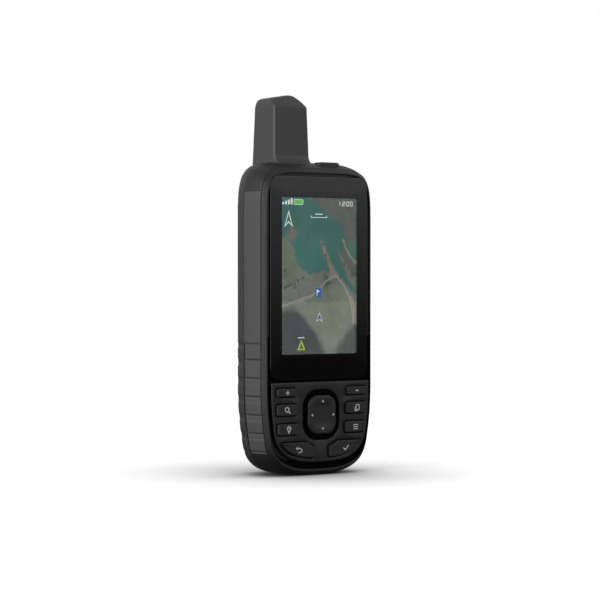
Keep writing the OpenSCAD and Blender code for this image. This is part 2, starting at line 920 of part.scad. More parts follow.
module d_ring() {
    color([0.7, 0.7, 0.72])
    translate([0, ring_y, stud_z]) union() {
        translate([-ring_hw, 0, 0]) rotate([0, 90, 0]) cylinder(r = ring_wire_r, h = 2 * ring_hw);
        for (x = [-1, 1]) translate([x * ring_hw, 0, -ring_leg]) cylinder(r = ring_wire_r, h = ring_leg);
        for (x = [-1, 1]) translate([x * ring_hw, 0, 0]) sphere(ring_wire_r);
        translate([0, 0, -ring_leg]) rotate([-90, 0, 0]) rotate_extrude(angle = 180)
            translate([ring_hw, 0]) circle(ring_wire_r);
    }
}

// A cell standing on its flat end at z, or hanging from it when turned over
module cell(x, turned) {
    low = bay_z0 + contact_t + spring_l;
    mid = (bay_z0 + bay_z1) / 2;
    translate([x, cell_y, mid]) mirror([0, 0, turned ? 1 : 0]) translate([0, 0, low - mid]) union() {
        cylinder(r = cell_r, h = cell_l - 1.2);
        cylinder(r = 2.75, h = cell_l);
    }
}

module battery_cell_left() {
    color([0.85, 0.65, 0.2]) cell(-cell_x, false);
}

module battery_cell_right() {
    color([0.85, 0.65, 0.2]) cell(cell_x, true);
}

// Conical spring that pushes on the flat end of a cell
module spring(x, turned) {
    mid = (bay_z0 + bay_z1) / 2;
    low = bay_z0 + contact_t;
    turns = 3;
    translate([x, cell_y, mid]) mirror([0, 0, turned ? 1 : 0]) translate([0, 0, low - mid])
        swept_bar([for (i = [0:12 * turns]) let (a = 30 * i, f = i / (12 * turns), r = 4.6 - 2 * f)
            [r * cos(a), r * sin(a), 0.35 + f * (spring_l - 0.7)]], 0.35, 6);
}

module battery_springs() {
    color([0.75, 0.75, 0.78])
    union() {
        spring(-cell_x, false);
        spring(cell_x, true);
    }
}

module battery_contacts() {
    color([0.75, 0.75, 0.78])
    union() {
        for (x = [-1, 1]) block([x * cell_x - 6, 1, bay_z0], [x * cell_x + 6, 12, bay_z0 + contact_t]);
        for (x = [-1, 1]) block([x * cell_x - 6, 1, bay_z1 - contact_t], [x * cell_x + 6, 12, bay_z1]);
    }
}

front_housing();
rear_housing();
side_grip_left();
side_grip_right();
edge_strips();
housing_seal();
housing_screws();
window_glass();
window_gasket();
display_panel();
display_frame();
display_flex();
keypad_deck();
keypad_mat();
zoom_in_key();
zoom_out_key();
find_key();
page_key();
mark_key();
menu_key();
quit_key();
enter_key();
rocker_pad();
rocker_pivot();
rocker_cradle();
dome_switches();
main_board();
shield_cans();
buzzer();
power_button();
power_switch();
antenna_housing();
antenna_core();
antenna_helix();
antenna_board();
antenna_lead();
port_board();
usb_socket();
usb_cap();
antenna_jack();
jack_cap();
mounting_spine();
card_socket();
memory_card();
battery_cover();
cover_seal();
latch_stud();
d_ring();
battery_cell_left();
battery_cell_right();
battery_springs();
battery_contacts();
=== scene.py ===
# %% [markdown]
# # Handheld satellite navigator
# This lesson dresses an engineered part: a trail navigator about 62 mm wide and 163 mm tall
# with a stub antenna, a tall colour display, a rubber keypad and a battery door at the back.
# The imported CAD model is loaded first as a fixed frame. Each visible skin is then worked out
# again with numpy at a finer step than CAD used, so that curves stay smooth and edges soft.

# %% Load the frame
import json
import math

import bmesh
import bpy
import numpy as np
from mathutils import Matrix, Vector

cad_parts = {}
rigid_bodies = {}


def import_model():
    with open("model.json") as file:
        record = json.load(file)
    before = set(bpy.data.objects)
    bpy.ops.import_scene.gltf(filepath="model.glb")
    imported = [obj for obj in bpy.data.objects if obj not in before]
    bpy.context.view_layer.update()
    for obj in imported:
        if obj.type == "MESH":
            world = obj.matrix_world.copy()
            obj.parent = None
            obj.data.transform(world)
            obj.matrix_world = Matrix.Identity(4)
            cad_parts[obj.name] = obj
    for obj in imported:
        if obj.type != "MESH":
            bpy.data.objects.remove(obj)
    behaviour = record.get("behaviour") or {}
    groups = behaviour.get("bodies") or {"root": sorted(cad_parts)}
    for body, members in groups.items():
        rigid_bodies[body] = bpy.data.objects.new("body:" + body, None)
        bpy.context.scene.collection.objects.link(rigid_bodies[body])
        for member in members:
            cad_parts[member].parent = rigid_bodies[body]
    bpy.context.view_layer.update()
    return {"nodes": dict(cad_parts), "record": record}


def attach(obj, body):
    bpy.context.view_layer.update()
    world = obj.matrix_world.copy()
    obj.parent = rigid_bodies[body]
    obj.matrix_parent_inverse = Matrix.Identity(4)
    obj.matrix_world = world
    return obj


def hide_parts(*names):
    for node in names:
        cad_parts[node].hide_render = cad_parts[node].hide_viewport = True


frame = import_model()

MM = 0.001

# %% [markdown]
# ## Camera, floor and light
# The navigator stands on a pale table and is seen from its left, a little above the keypad.
# A camera is a place and a direction; `to_track_quat` turns the direction into a rotation.
# Big soft lamps are used, because small lamps would put hard spots on the matt plastic. The
# left one is the key light; the top and front ones only fill in.

# %% Camera
EYE = Vector((-0.5788, -0.7753, 0.0835))
LOOK = Vector((0.5987, 0.8009, -0.0091))

camera_data = bpy.data.cameras.new("camera")
camera_data.lens = 134.1
camera_data.sensor_width = 36.0
camera_data.clip_end = 50.0
camera = bpy.data.objects.new("camera", camera_data)
bpy.context.scene.collection.objects.link(camera)
camera.location = EYE
camera.rotation_euler = LOOK.to_track_quat("-Z", "Y").to_euler()
bpy.context.scene.camera = camera
print("camera", tuple(round(v, 3) for v in EYE))

# %% Lamps
def soft_lamp(name, place, aim, size, watts):
    """A square area lamp at place, turned so that its face looks at aim."""
    data = bpy.data.lights.new(name, "AREA")
    data.shape = "RECTANGLE"
    data.size, data.size_y = size
    data.energy = watts
    lamp = bpy.data.objects.new(name, data)
    bpy.context.scene.collection.objects.link(lamp)
    lamp.location = place
    lamp.rotation_euler = (Vector(aim) - Vector(place)).to_track_quat("-Z", "Y").to_euler()
    return lamp


soft_lamp("left_panel", (-1.25, -0.05, 0.30), (0, 0, 0.09), (0.9, 0.7), 14)
soft_lamp("top_panel", (0.1, 0.2, 1.4), (0, 0, 0.08), (1.0, 1.0), 2)
soft_lamp("front_panel", (0.9, -1.3, 0.8), (0, 0, 0.08), (0.8, 0.6), 3)

# %% Studio sky and floor
# sine of the elevation, then the brightness of the sky there
SKY = [(-1.0, 0.03), (-0.06, 0.05), (-0.03, 0.09), (0.034, 0.60), (0.10, 0.85), (0.45, 0.8), (0.9, 0.25)]


def studio_sky(name):
    """White to the camera; to the object a band of light above the horizon, dark below and overhead."""
    made = bpy.data.worlds.new(name)
    made.use_nodes = True
    tree = made.node_tree
    tree.nodes.clear()
    out = tree.nodes.new("ShaderNodeOutputWorld")
    seen, lit = (tree.nodes.new("ShaderNodeBackground") for _ in range(2))
    seen.inputs["Color"].default_value = (1.0, 1.0, 1.0, 1.0)
    coord = tree.nodes.new("ShaderNodeTexCoord")
    parts = tree.nodes.new("ShaderNodeSeparateXYZ")
    half = tree.nodes.new("ShaderNodeMath")
    half.operation = "MULTIPLY_ADD"
    half.inputs[1].default_value = half.inputs[2].default_value = 0.5
    ramp = tree.nodes.new("ShaderNodeValToRGB")
    stops = ramp.color_ramp.elements
    for k, (height, glow) in enumerate(SKY):
        stop = stops[k] if k < 2 else stops.new(0.5 + 0.5 * height)
        stop.position, stop.color = 0.5 + 0.5 * height, (glow, glow, glow, 1)
    path, mix = tree.nodes.new("ShaderNodeLightPath"), tree.nodes.new("ShaderNodeMixShader")
    tree.links.new(coord.outputs["Generated"], parts.inputs[0])
    tree.links.new(parts.outputs["Z"], half.inputs[0])
    tree.links.new(half.outputs[0], ramp.inputs["Fac"])
    tree.links.new(ramp.outputs["Color"], lit.inputs["Color"])
    tree.links.new(path.outputs["Is Camera Ray"], mix.inputs[0])
    tree.links.new(lit.outputs[0], mix.inputs[1])
    tree.links.new(seen.outputs[0], mix.inputs[2])
    tree.links.new(mix.outputs[0], out.inputs["Surface"])
    return made


bpy.context.scene.world = studio_sky("studio")
bpy.context.scene.view_settings.view_transform = "Standard"

floor_mesh = bpy.data.meshes.new("floor")
floor_mesh.from_pydata([(-6, -6, 0), (6, -6, 0), (6, 6, 0), (-6, 6, 0)], [], [(0, 1, 2, 3)])
floor = bpy.data.objects.new("floor", floor_mesh)
bpy.context.scene.collection.objects.link(floor)
paint = bpy.data.materials.new("floor_white")
paint.use_nodes = True
paint_nodes, paint_links = paint.node_tree.nodes, paint.node_tree.links
matt = paint_nodes["Principled BSDF"]
matt.inputs["Base Color"].default_value = (0.15, 0.15, 0.15, 1.0)
matt.inputs["Roughness"].default_value = 1.0
matt.inputs["Specular IOR Level"].default_value = 0.0
matt.inputs["Emission Color"].default_value = (1.0, 1.0, 1.0, 1.0)
# the floor's own light fades where the part stands over it, which gives the contact shadow
hidden = paint_nodes.new("ShaderNodeAmbientOcclusion")
hidden.samples = 16
hidden.inputs["Distance"].default_value = 0.09
fade = paint_nodes.new("ShaderNodeMath")
fade.operation = "POWER"
fade.inputs[1].default_value = 2.2
paint_links.new(hidden.outputs["AO"], fade.inputs[0])
paint_links.new(fade.outputs[0], matt.inputs["Emission Strength"])
floor_mesh.materials.append(paint)
floor.visible_glossy = floor.visible_diffuse = False
print("floor and sky ready")

# %% [markdown]
# ## Helpers that make meshes
# Everything below is either a grid of points or a stack of rings. A grid is a table of points
# with rows and columns, closed or open in each direction; its faces are the squares between
# neighbours. Working on whole arrays keeps the code short and fast.

# %% Mesh helpers
def new_piece(name, points, faces, body, replaces=(), smooth=True, slot=None):
    """A mesh object from points in millimetres and faces, riding on a CAD body."""
    mesh = bpy.data.meshes.new(name)
    mesh.from_pydata((np.asarray(points, float) * MM).tolist(), [], [list(f) for f in faces])
    mesh.validate()
    mesh.update()
    piece = bpy.data.objects.new(name, mesh)
    bpy.context.scene.collection.objects.link(piece)
    mesh.shade_smooth() if smooth else mesh.shade_flat()
    if body:
        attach(piece, body)
    if replaces:
        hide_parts(*replaces)
    return piece


def grid_faces(rows, columns, wrap_rows=False, wrap_columns=False, start=0):
    """Squares between neighbours of a grid of rows x columns points, as index arrays."""
    r = np.arange(rows if wrap_rows else rows - 1)
    c = np.arange(columns if wrap_columns else columns - 1)
    rr, cc = np.meshgrid(r, c, indexing="ij")
    nr, nc = (rr + 1) % rows, (cc + 1) % columns
    quads = np.stack([rr * columns + cc, rr * columns + nc, nr * columns + nc, nr * columns + cc], -1)
    return quads.reshape(-1, 4) + start


def ring_stack(rings, close_ends=True):
    """Points and faces of a skin over rings with equal counts; a fan of triangles shuts each end."""
    rings = np.asarray(rings, float)
    rows, columns = rings.shape[:2]
    points = rings.reshape(-1, 3)
    faces = [tuple(f) for f in grid_faces(rows, columns, wrap_columns=True)]
    if close_ends:
        first, last = points[:columns].mean(0), points[-columns:].mean(0)
        points = np.vstack([points, first, last])
        a, b = rows * columns, rows * columns + 1
        i = np.arange(columns)
        j = (i + 1) % columns
        faces += [(a, int(y), int(x)) for x, y in zip(i, j)]
        top = (rows - 1) * columns
        faces += [(b, int(top + x), int(top + y)) for x, y in zip(i, j)]
    return points, faces


def face_outwards(piece):
    """Turns every face of a closed mesh so that its normal points away from the solid."""
    bm = bmesh.new()
    bm.from_mesh(piece.data)
    bmesh.ops.remove_doubles(bm, verts=bm.verts, dist=1e-7)
    bmesh.ops.recalc_face_normals(bm, faces=bm.faces)
    bm.to_mesh(piece.data)
    bm.free()
    return piece


def carve(piece, cutters, operation="DIFFERENCE"):
    """Cuts closed cutter meshes out of a closed piece, applies the result and drops the cutters."""
    for cutter in cutters:
        cut = piece.modifiers.new("cut", "BOOLEAN")
        cut.operation, cut.object, cut.solver = operation, cutter, "EXACT"
        depsgraph = bpy.context.evaluated_depsgraph_get()
        depsgraph.update()
        result = bpy.data.meshes.new_from_object(piece.evaluated_get(depsgraph))
        piece.modifiers.clear()
        piece.data = result
        bpy.data.objects.remove(cutter)
    return piece


def smooth_by_angle(piece, degrees=35.0):
    """Shades smooth except across edges that turn by more than the angle."""
    piece.data.shade_smooth()
    bm = bmesh.new()
    bm.from_mesh(piece.data)
    limit = math.radians(degrees)
    for e in bm.edges:
        e.smooth = len(e.link_faces) == 2 and e.calc_face_angle(0.0) < limit
    bm.to_mesh(piece.data)
    bm.free()
    return piece


def bevelled(piece, width, segments=3, degrees=30.0):
    """Rounds the edges of a piece that turn by more than the angle, by width in millimetres."""
    edge = piece.modifiers.new("soft_edges", "BEVEL")
    edge.width, edge.segments, edge.limit_method = width * MM, segments, "ANGLE"
    edge.angle_limit = math.radians(degrees)
    edge.harden_normals = False
    return piece


print("mesh helpers ready")

# %% [markdown]
# ## The shape of the body
# Seen from the front the body is a tall rounded shield: round lower corners, sides that draw
# in a little towards the bottom, and broad upper corners. Its depth is a table of sections,
# one for each distance from the face, and every point of the skin follows from two numbers,
# the height and the depth. Corners are superellipses, x^n + c^n = 1, because a larger n makes
# a squarer corner without a seam where it meets the straight side.

# %% Body sections
LOW_CORNER, LOW_POWER, HIGH_CORNER = 14.0, 3.0, 30.0
TAPER_TOP, TAPER_RATE = 38.0, 0.004
SEAM_Y = -2.4

# depth, half width, bottom, top, power of the upper corners
SECTIONS = np.array([
    [-15.1, 27.8, 1.5, 129.3, 6.2], [-13.1, 29.3, 0.5, 130.7, 6.0], [-12.6, 29.5, 0.3, 131.1, 6.0],
    [-9.0, 30.1, -0.15, 132.8, 5.6], [-5.5, 30.6, -0.15, 133.8, 5.2], [-2.4, 30.95, -0.15, 134.0, 4.9],
    [0.5, 31.0, -0.15, 134.0, 4.8], [3.0, 30.1, -0.15, 134.0, 4.8], [5.7, 28.2, 0.4, 134.0, 4.8],
    [10.0, 25.0, 2.0, 133.4, 4.6], [13.0, 22.5, 4.2, 131.6, 4.4], [14.6, 20.0, 6.0, 129.6, 4.2],
    [15.0, 18.9, 7.0, 128.6, 4.2]])


def section_at(y, inset=0.0):
    """Half width, bottom, top and power at depth y, straight lines between rows of the table."""
    hw, z0, z1, n = (np.interp(y, SECTIONS[:, 0], SECTIONS[:, k]) for k in (1, 2, 3, 4))
    return hw - inset, z0 + inset, z1 - inset, n


def side_in(z):
    """How far the side draws in below the taper height: a parabola, 0.004 (38 - z)^2."""
    return TAPER_RATE * np.maximum(0.0, TAPER_TOP - z) ** 2


def outline(hw, z0, z1, n, count=240):
    """Closed front-view outline as count points (x, z), from the bottom centre round by the right.
    The corners follow c = cos(t)^(2/n), s = sin(t)^(2/n); even steps along the length are taken."""
    t = np.radians(90 * np.linspace(0, 1, 400) ** 2)
    s, c = np.sin(t) ** (2 / LOW_POWER), np.cos(t) ** (2 / LOW_POWER)
    z_low = z0 + LOW_CORNER * (1 - c)
    low = np.stack([s * (hw - side_in(z_low)), z_low], 1)
    z_side = np.linspace(z0 + LOW_CORNER, max(TAPER_TOP, z0 + LOW_CORNER + 1), 40)[1:]
    side = np.stack([hw - side_in(z_side), z_side], 1)
    t = np.radians(90 * (1 - np.linspace(1, 0, 500) ** 2))
    c, s = np.cos(t) ** (2 / n), np.sin(t) ** (2 / n)
    high = np.stack([hw * c, z1 - HIGH_CORNER * (1 - s)], 1)
    half = np.vstack([low, side, high])
    step = np.r_[0, np.cumsum(np.hypot(*np.diff(half, axis=0).T))]
    even = np.linspace(0, step[-1], count // 2 + 1)
    half = np.stack([np.interp(even, step, half[:, k]) for k in (0, 1)], 1)
    return np.vstack([half, half[-2:0:-1] * (-1, 1)])


def body_ring(y, inset=0.0, count=240, at=None):
    """One ring of the body skin at depth y; at gives another depth to read the section at."""
    p = outline(*section_at(y if at is None else at, inset), count)
    return np.stack([p[:, 0], np.full(len(p), float(y)), np.maximum(p[:, 1], 0.0 if inset < 1 else -9)], 1)


def half_width(z, y, inset=0.0):
    """Half width of the body at height z and depth y, from the same superellipses, as arrays."""
    hw, z0, z1, n = section_at(y, inset)
    low = np.clip(1 - (z - z0) / LOW_CORNER, 0, 1)
    high = np.clip(1 - (z1 - z) / HIGH_CORNER, 0, 1)
    x = (1 - low ** LOW_POWER) ** (1 / LOW_POWER) * (hw - side_in(z))
    return x * (1 - high ** n) ** (1 / n)


def prism(name, points, y0, y1):
    """A closed block with a front-view outline (x, z) between two depths, used as a cutter."""
    p = np.asarray(points, float)
    rings = [np.stack([p[:, 0], np.full(len(p), y), p[:, 1]], 1) for y in (y0, y1)]
    made = new_piece(name, *ring_stack(rings), body=None)
    return face_outwards(made)


def soft_rectangle(w, h, r, x=0.0, z=0.0, steps=10):
    """Rectangle w x h about (x, z) with corners of radius r, as points (x, z)."""
    r = max(min(r, w / 2, h / 2), 1e-3)
    a = np.radians(np.linspace(0, 90, steps))
    quarters = [np.stack([sx * (w / 2 - r) + r * np.cos(a + b), sz * (h / 2 - r) + r * np.sin(a + b)], 1)
                for sx, sz, b in ((1, 1, 0), (-1, 1, np.pi / 2), (-1, -1, np.pi), (1, -1, 1.5 * np.pi))]
    return np.vstack(quarters) + (x, z)


def box_cutter(low, high):
    """A plain closed block between two corners, in millimetres, used only to cut."""
    (x0, y0, z0), (x1, y1, z1) = low, high
    return prism("cutter", [(x0, z0), (x1, z0), (x1, z1), (x0, z1)], y0, y1)


print("outline of the seam:", outline(*section_at(SEAM_Y)).shape)

# %% [markdown]
# ## Side grips
# The long flanks are a softer rubber skin let into the hard plastic, about 1.2 mm thick. Low
# down, where fingers close round the body, the skin carries raised pads with sunk lines
# between them. A pad is a smooth step in height and in depth: two logistic curves back to
# back give a flat top with soft edges, which catches a thin line of light as real moulding.

# %% Grip relief
PAD_PITCH, PAD_FIRST, PAD_COUNT, PAD_HEIGHT = 7.8, 10.4, 6, 5.0
GRIP_BOTTOM, GRIP_TOP, GRIP_FRONT = 9.5, 121.0, -12.6


def plateau(v, low, high, soft):
    """1 between low and high, 0 outside, over soft-edged steps 1 / (1 + exp(-v / soft))."""
    up = 1 / (1 + np.exp(-np.clip((v - low) / soft, -40, 40)))
    down = 1 / (1 + np.exp(-np.clip((high - v) / soft, -40, 40)))
    return up * down


def pads(z, first=PAD_FIRST, height=PAD_HEIGHT, soft=0.1):
    """How much of a pad there is at height z, from 0 between pads to 1 on a pad."""
    return sum(plateau(z, first + PAD_PITCH * i + 0.45, first + PAD_PITCH * i + 0.45 + height, soft)
               for i in range(PAD_COUNT))


def grip_sink(z, y):
    """Millimetres that the grip surface lies below the body skin: margins round the pads are sunk."""
    zone = plateau(z, GRIP_BOTTOM - 5, PAD_FIRST + PAD_PITCH * PAD_COUNT - 0.6, 0.12)
    pad = pads(z) * plateau(y, -11.9, -3.3, 0.1)
    groove = 0.25 * sum(np.exp(-((z - PAD_FIRST - PAD_PITCH * i) / 0.28) ** 2) for i in range(PAD_COUNT))
    edge = np.minimum.reduce([z - GRIP_BOTTOM, GRIP_TOP - z, y - GRIP_FRONT, SEAM_Y - y])
    lip = 0.35 * (1 - np.clip(edge / 0.35, 0, 1)) ** 2
    return 0.42 * zone * (1 - pad) + groove * plateau(y, -12.1, -2.9, 0.1) + lip


def flank_block(name, side, outer, inner, body, rows=620, columns=56, **kw):
    """Closed slab on one flank between the skin sunk by outer(z, y) and by inner, made of two grids."""
    z = np.linspace(GRIP_BOTTOM, GRIP_TOP, rows)
    y = np.linspace(GRIP_FRONT, SEAM_Y, columns)
    zz, yy = np.meshgrid(z, y, indexing="ij")
    skins = [np.stack([side * (half_width(zz, yy) - sink), yy, zz], -1).reshape(-1, 3)
             for sink in (outer(zz, yy), inner + 0 * zz)]
    a = grid_faces(rows, columns)
    b = grid_faces(rows, columns, start=rows * columns)
    k = np.arange(rows * columns).reshape(rows, columns)
    rim = np.r_[k[0, :-1], k[:-1, -1], k[-1, :0:-1], k[:0:-1, 0]]
    nxt = np.roll(rim, -1)
    wall = np.stack([rim, nxt, nxt + rows * columns, rim + rows * columns], 1)
    return face_outwards(new_piece(name, np.vstack(skins), np.vstack([a, b[:, ::-1], wall]), body, **kw))


grips = [flank_block(f"side_grip_{word}", side, grip_sink, 1.18, "body",
                     replaces=[f"side_grip_{word}"], slot="grip_rubber")
         for word, side in (("left", -1), ("right", 1))]
print("grip triangles:", 2 * len(grips[0].data.polygons))

# %% [markdown]
# ## Front shell
# The front shell is one moulding: it turns in from the seam over the flank to a bevelled rim
# round the glass and the keypad. It is a stack of rings that runs over the rim, down into the
# recess, and back along the inside of the wall, so it has a real thickness. Extra rings close
# together at each corner round it off.

# %% Front shell
RECESS = (27.4, 2.8, 128.8, 6.2)
GLASS_W, GLASS_Z0, GLASS_Z1, GLASS_R = 51.9, 40.7, 127.5, 4.5
WALL = 2.6


def flat_ring(hw, z0, z1, n, y, count=240):
    """A ring of the front-view outline in one plane at depth y."""
    p = outline(hw, z0, z1, n, count)
    return np.stack([p[:, 0], np.full(len(p), float(y)), p[:, 1]], 1)


def grown(shape, d):
    """The same outline numbers moved out by d."""
    return (shape[0] + d, shape[1] - d, shape[2] + d, shape[3])


FACE = tuple(SECTIONS[0, 1:])
front_rings = [
    flat_ring(*grown(RECESS, -3.0), -14.3), flat_ring(*grown(RECESS, -0.1), -14.3),
    flat_ring(*RECESS, -14.2), flat_ring(*RECESS, -15.0), flat_ring(*grown(RECESS, 0.06), -15.08),
    flat_ring(*grown(RECESS, 0.14), -15.1), flat_ring(*grown(FACE, -0.12), -15.1),
    flat_ring(*grown(FACE, 0.0), -15.06), body_ring(-14.95), body_ring(-14.4), body_ring(-13.7),
    body_ring(-13.2), body_ring(-13.05, 0.05), body_ring(-13.0, 0.3), body_ring(-12.8, 0.3),
    body_ring(-12.74, 0.05), body_ring(-12.6)]
front_rings += [body_ring(y) for y in np.linspace(-11.6, SEAM_Y - 0.35, 16)]
front_rings += [body_ring(SEAM_Y - 0.12, 0.0), body_ring(SEAM_Y - 0.03, 0.08), body_ring(SEAM_Y, 0.22)]
front_rings += [body_ring(y, WALL) for y in (SEAM_Y, -5.5, -9.0, -12.0)]
front = face_outwards(new_piece("front_shell", *ring_stack(front_rings), body="body",
                                replaces=["front_housing"], slot="body_plastic"))


def glass_shape(grow=0.0, steps=14):
    """Front view of the window glass, a tall rectangle with round corners."""
    return soft_rectangle(GLASS_W + 2 * grow, GLASS_Z1 - GLASS_Z0 + 2 * grow, GLASS_R + grow,
                          0.0, (GLASS_Z0 + GLASS_Z1) / 2, steps)


def flank_cutter(side):
    """Takes away the seat of a side grip from the hard shell."""
    return flank_block("cutter", side, lambda z, y: -4.0 + 0 * z, 1.2, None, rows=60, columns=12)


SCREEN_Z = 85.1
front_cuts = [flank_cutter(-1), flank_cutter(1), prism("cutter", glass_shape(0.2), -18, -13.6),
              prism("cutter", soft_rectangle(44.4, 74.1, 0.5, 0, SCREEN_Z), -18, -11),
              prism("cutter", soft_rectangle(49, 31.7, 8, 0, 22.75), -18, -11),
              prism("cutter", soft_rectangle(49, 12.6, 1, 0, 32.3), -18.2, -11.1)]
carve(front, front_cuts)
smooth_by_angle(front)
print("front shell triangles:", sum(len(p.vertices) - 2 for p in front.data.polygons))

# %% [markdown]
# ## Rear shell
# The rear half is deeper. It rounds off to a flat back that carries the battery door, two
# port flaps and a rail for a belt clip. The skin is again a stack of rings; the battery bay,
# the seat of the door, the keyhole for its latch and the two port pockets are cut from it
# with plain blocks, the way a moulder would describe them.

# %% Rear shell
DOOR_Y, DOOR_HW, DOOR_Z0, DOOR_Z1, DOOR_R = 13.6, 16.3, 15.2, 89.8, 5.0
STUD_Z = 82.0


def rear_sink(z, y, x):
    """The finger pads run on round the rear flank as sunk lines that fade towards the back."""
    zone = plateau(z, PAD_FIRST - 0.6, PAD_FIRST + PAD_PITCH * PAD_COUNT - 0.6, 0.12)
    side = plateau(y, -1.9, 9.5, 0.25) * plateau(np.abs(x), 19.0, 60.0, 0.3)
    return 0.32 * zone * side * (1 - pads(z))


def rear_ring(y, inset=0.0, count=720):
    """A ring of the rear skin, dense enough in height to carry the pads."""
    ring = body_ring(y, inset, count)
    if inset < 1:
        z, x = ring[:, 2], ring[:, 0]
        sink = rear_sink(z, y, x)
        ring[:, 0] -= np.sign(x) * sink * 0.8
        ring[:, 1] -= sink * np.clip((y - 0.5) / 8, 0, 1) * 0.7
    return ring


def easy_depths(stops, gap=0.75):
    """Depths about gap apart between stops, so that straight stretches get few rings."""
    out = [stops[0]]
    for a, b in zip(stops[:-1], stops[1:]):
        out += list(np.linspace(a, b, max(2, int(round((b - a) / gap)) + 1))[1:])
    return out


rear_rings = [body_ring(y, WALL, 720) for y in (10.6, 8.0, 5.7, 3.0, 0.5, SEAM_Y)]
rear_rings += [body_ring(SEAM_Y, 0.22, 720), body_ring(SEAM_Y + 0.03, 0.08, 720)]
rear_rings += [rear_ring(y) for y in easy_depths([SEAM_Y + 0.12, 0.5, 5.7, 10.0, 13.0, 14.4])]
rear_rings += [rear_ring(y) for y in (14.6, 14.78, 14.9)]
rear_rings += [body_ring(14.96, 0.0, 720), body_ring(15.0, 0.25, 720)]
rear_points, rear_faces = ring_stack(rear_rings)
rear = face_outwards(new_piece("rear_shell", rear_points, rear_faces, body="body",
                               replaces=["rear_housing"], slot="rear_plastic"))

bay_block = box_cutter((-16.5, SEAM_Y + 0.4, 16.0), (16.5, 14.9, 91.4))
for place in ((25, 119), (-25, 119), (25, 46), (-25, 46)):
    post = box_cutter((place[0] - 2.6, SEAM_Y + 0.1, place[1] - 2.6), (place[0] + 2.6, 4.2, place[1] + 2.6))
    carve(rear, [post], "UNION")
carve(rear, [bay_block], "UNION")


def rod(name, x, z, r, y0, y1, sides=64, body=None, **kw):
    """A round bar along the depth, closed at both ends."""
    a = np.linspace(0, 2 * np.pi, sides, endpoint=False)
    rings = [np.stack([x + r * np.cos(a), np.full(sides, y), z + r * np.sin(a)], 1) for y in (y0, y1)]
    return face_outwards(new_piece(name, *ring_stack(rings), body=body, **kw))


def door_shape(grow, steps=14):
    """Front view of the battery door's edge."""
    return soft_rectangle(2 * (DOOR_HW + grow), DOOR_Z1 - DOOR_Z0 + 2 * grow, DOOR_R + grow,
                          0.0, (DOOR_Z0 + DOOR_Z1) / 2, steps)


rear_cuts = [
    box_cutter((-15.0, -1.3, 17.5), (15.0, 14.0, 73.7)),
    prism("cutter", door_shape(0.2), DOOR_Y, 20),
    box_cutter((0.5, -9, 21), (12.5, 2, 34)),
    rod("cutter", 0, STUD_Z, 2.8, 10.0, 20), box_cutter((-1.8, 10.1, 76.8), (1.8, 20, 87.2)),
    rod("cutter", 0, STUD_Z, 5.8, 8.0, 10.6),
    box_cutter((7.75, 13.2, 100.75), (16.7, 20, 115.25)),
    box_cutter((-16.7, 13.2, 103.75), (-7.75, 20, 114.25)),
    box_cutter((9.7, 3.4, 103.9), (14.3, 20, 112.1)),
    rod("cutter", -11.6, 109, 2.9, 3.4, 20)]
SCREW_PLACES = ((25, 119), (-25, 119), (25, 46), (-25, 46), (11, 4.7), (-11, 4.7))
rear_cuts += [rod("cutter", x, z, 2.1, 2.4, 20) for x, z in SCREW_PLACES]
carve(rear, rear_cuts)
smooth_by_angle(rear)
print("rear shell triangles:", sum(len(p.vertices) - 2 for p in rear.data.polygons))

# %% [markdown]
# ## Antenna stub
# The stub is nearly a box with a round back: a flat left flank, a sharp front edge, a slightly
# bowed front and a bevelled crown. Each level of it is a ring of four corner arcs, and the
# rings draw together towards the top. Near the foot the rings flare a little, as the moulding
# runs out into the shoulders.

# %% Antenna
ANTENNA_X, ANTENNA_W, ANTENNA_FRONT, ANTENNA_DEPTH = -7.35, 18.9, -5.7, 18.6
ANTENNA_SEAT, TOP = 129.6, 163.0


# height, then how far the crown has drawn in on the left, right, front and back
CROWN = np.array([[157.5, 0, 0, 0, 0], [158.2, 0.01, 0.15, 0.62, 0.2], [159.5, 0.06, 0.7, 1.9, 0.8],
                  [160.4, 0.2, 1.25, 2.8, 1.7], [160.9, 0.5, 1.7, 3.3, 2.4], [161.3, 1.3, 2.1, 3.7, 2.9],
                  [161.8, 3.5, 2.6, 4.2, 3.6], [162.3, 6.6, 3.1, 4.7, 4.5], [162.7, 9.0, 3.7, 5.2, 5.6],
                  [163.0, 10.8, 4.5, 6.0, 6.6]])


def flare(z):
    """How far the foot runs out in front at height z: 6.2 ((137 - z) / 6)^2.4 below 137."""
    return 6.2 * (max(0.0, 137.0 - z) / 6.0) ** 2.4


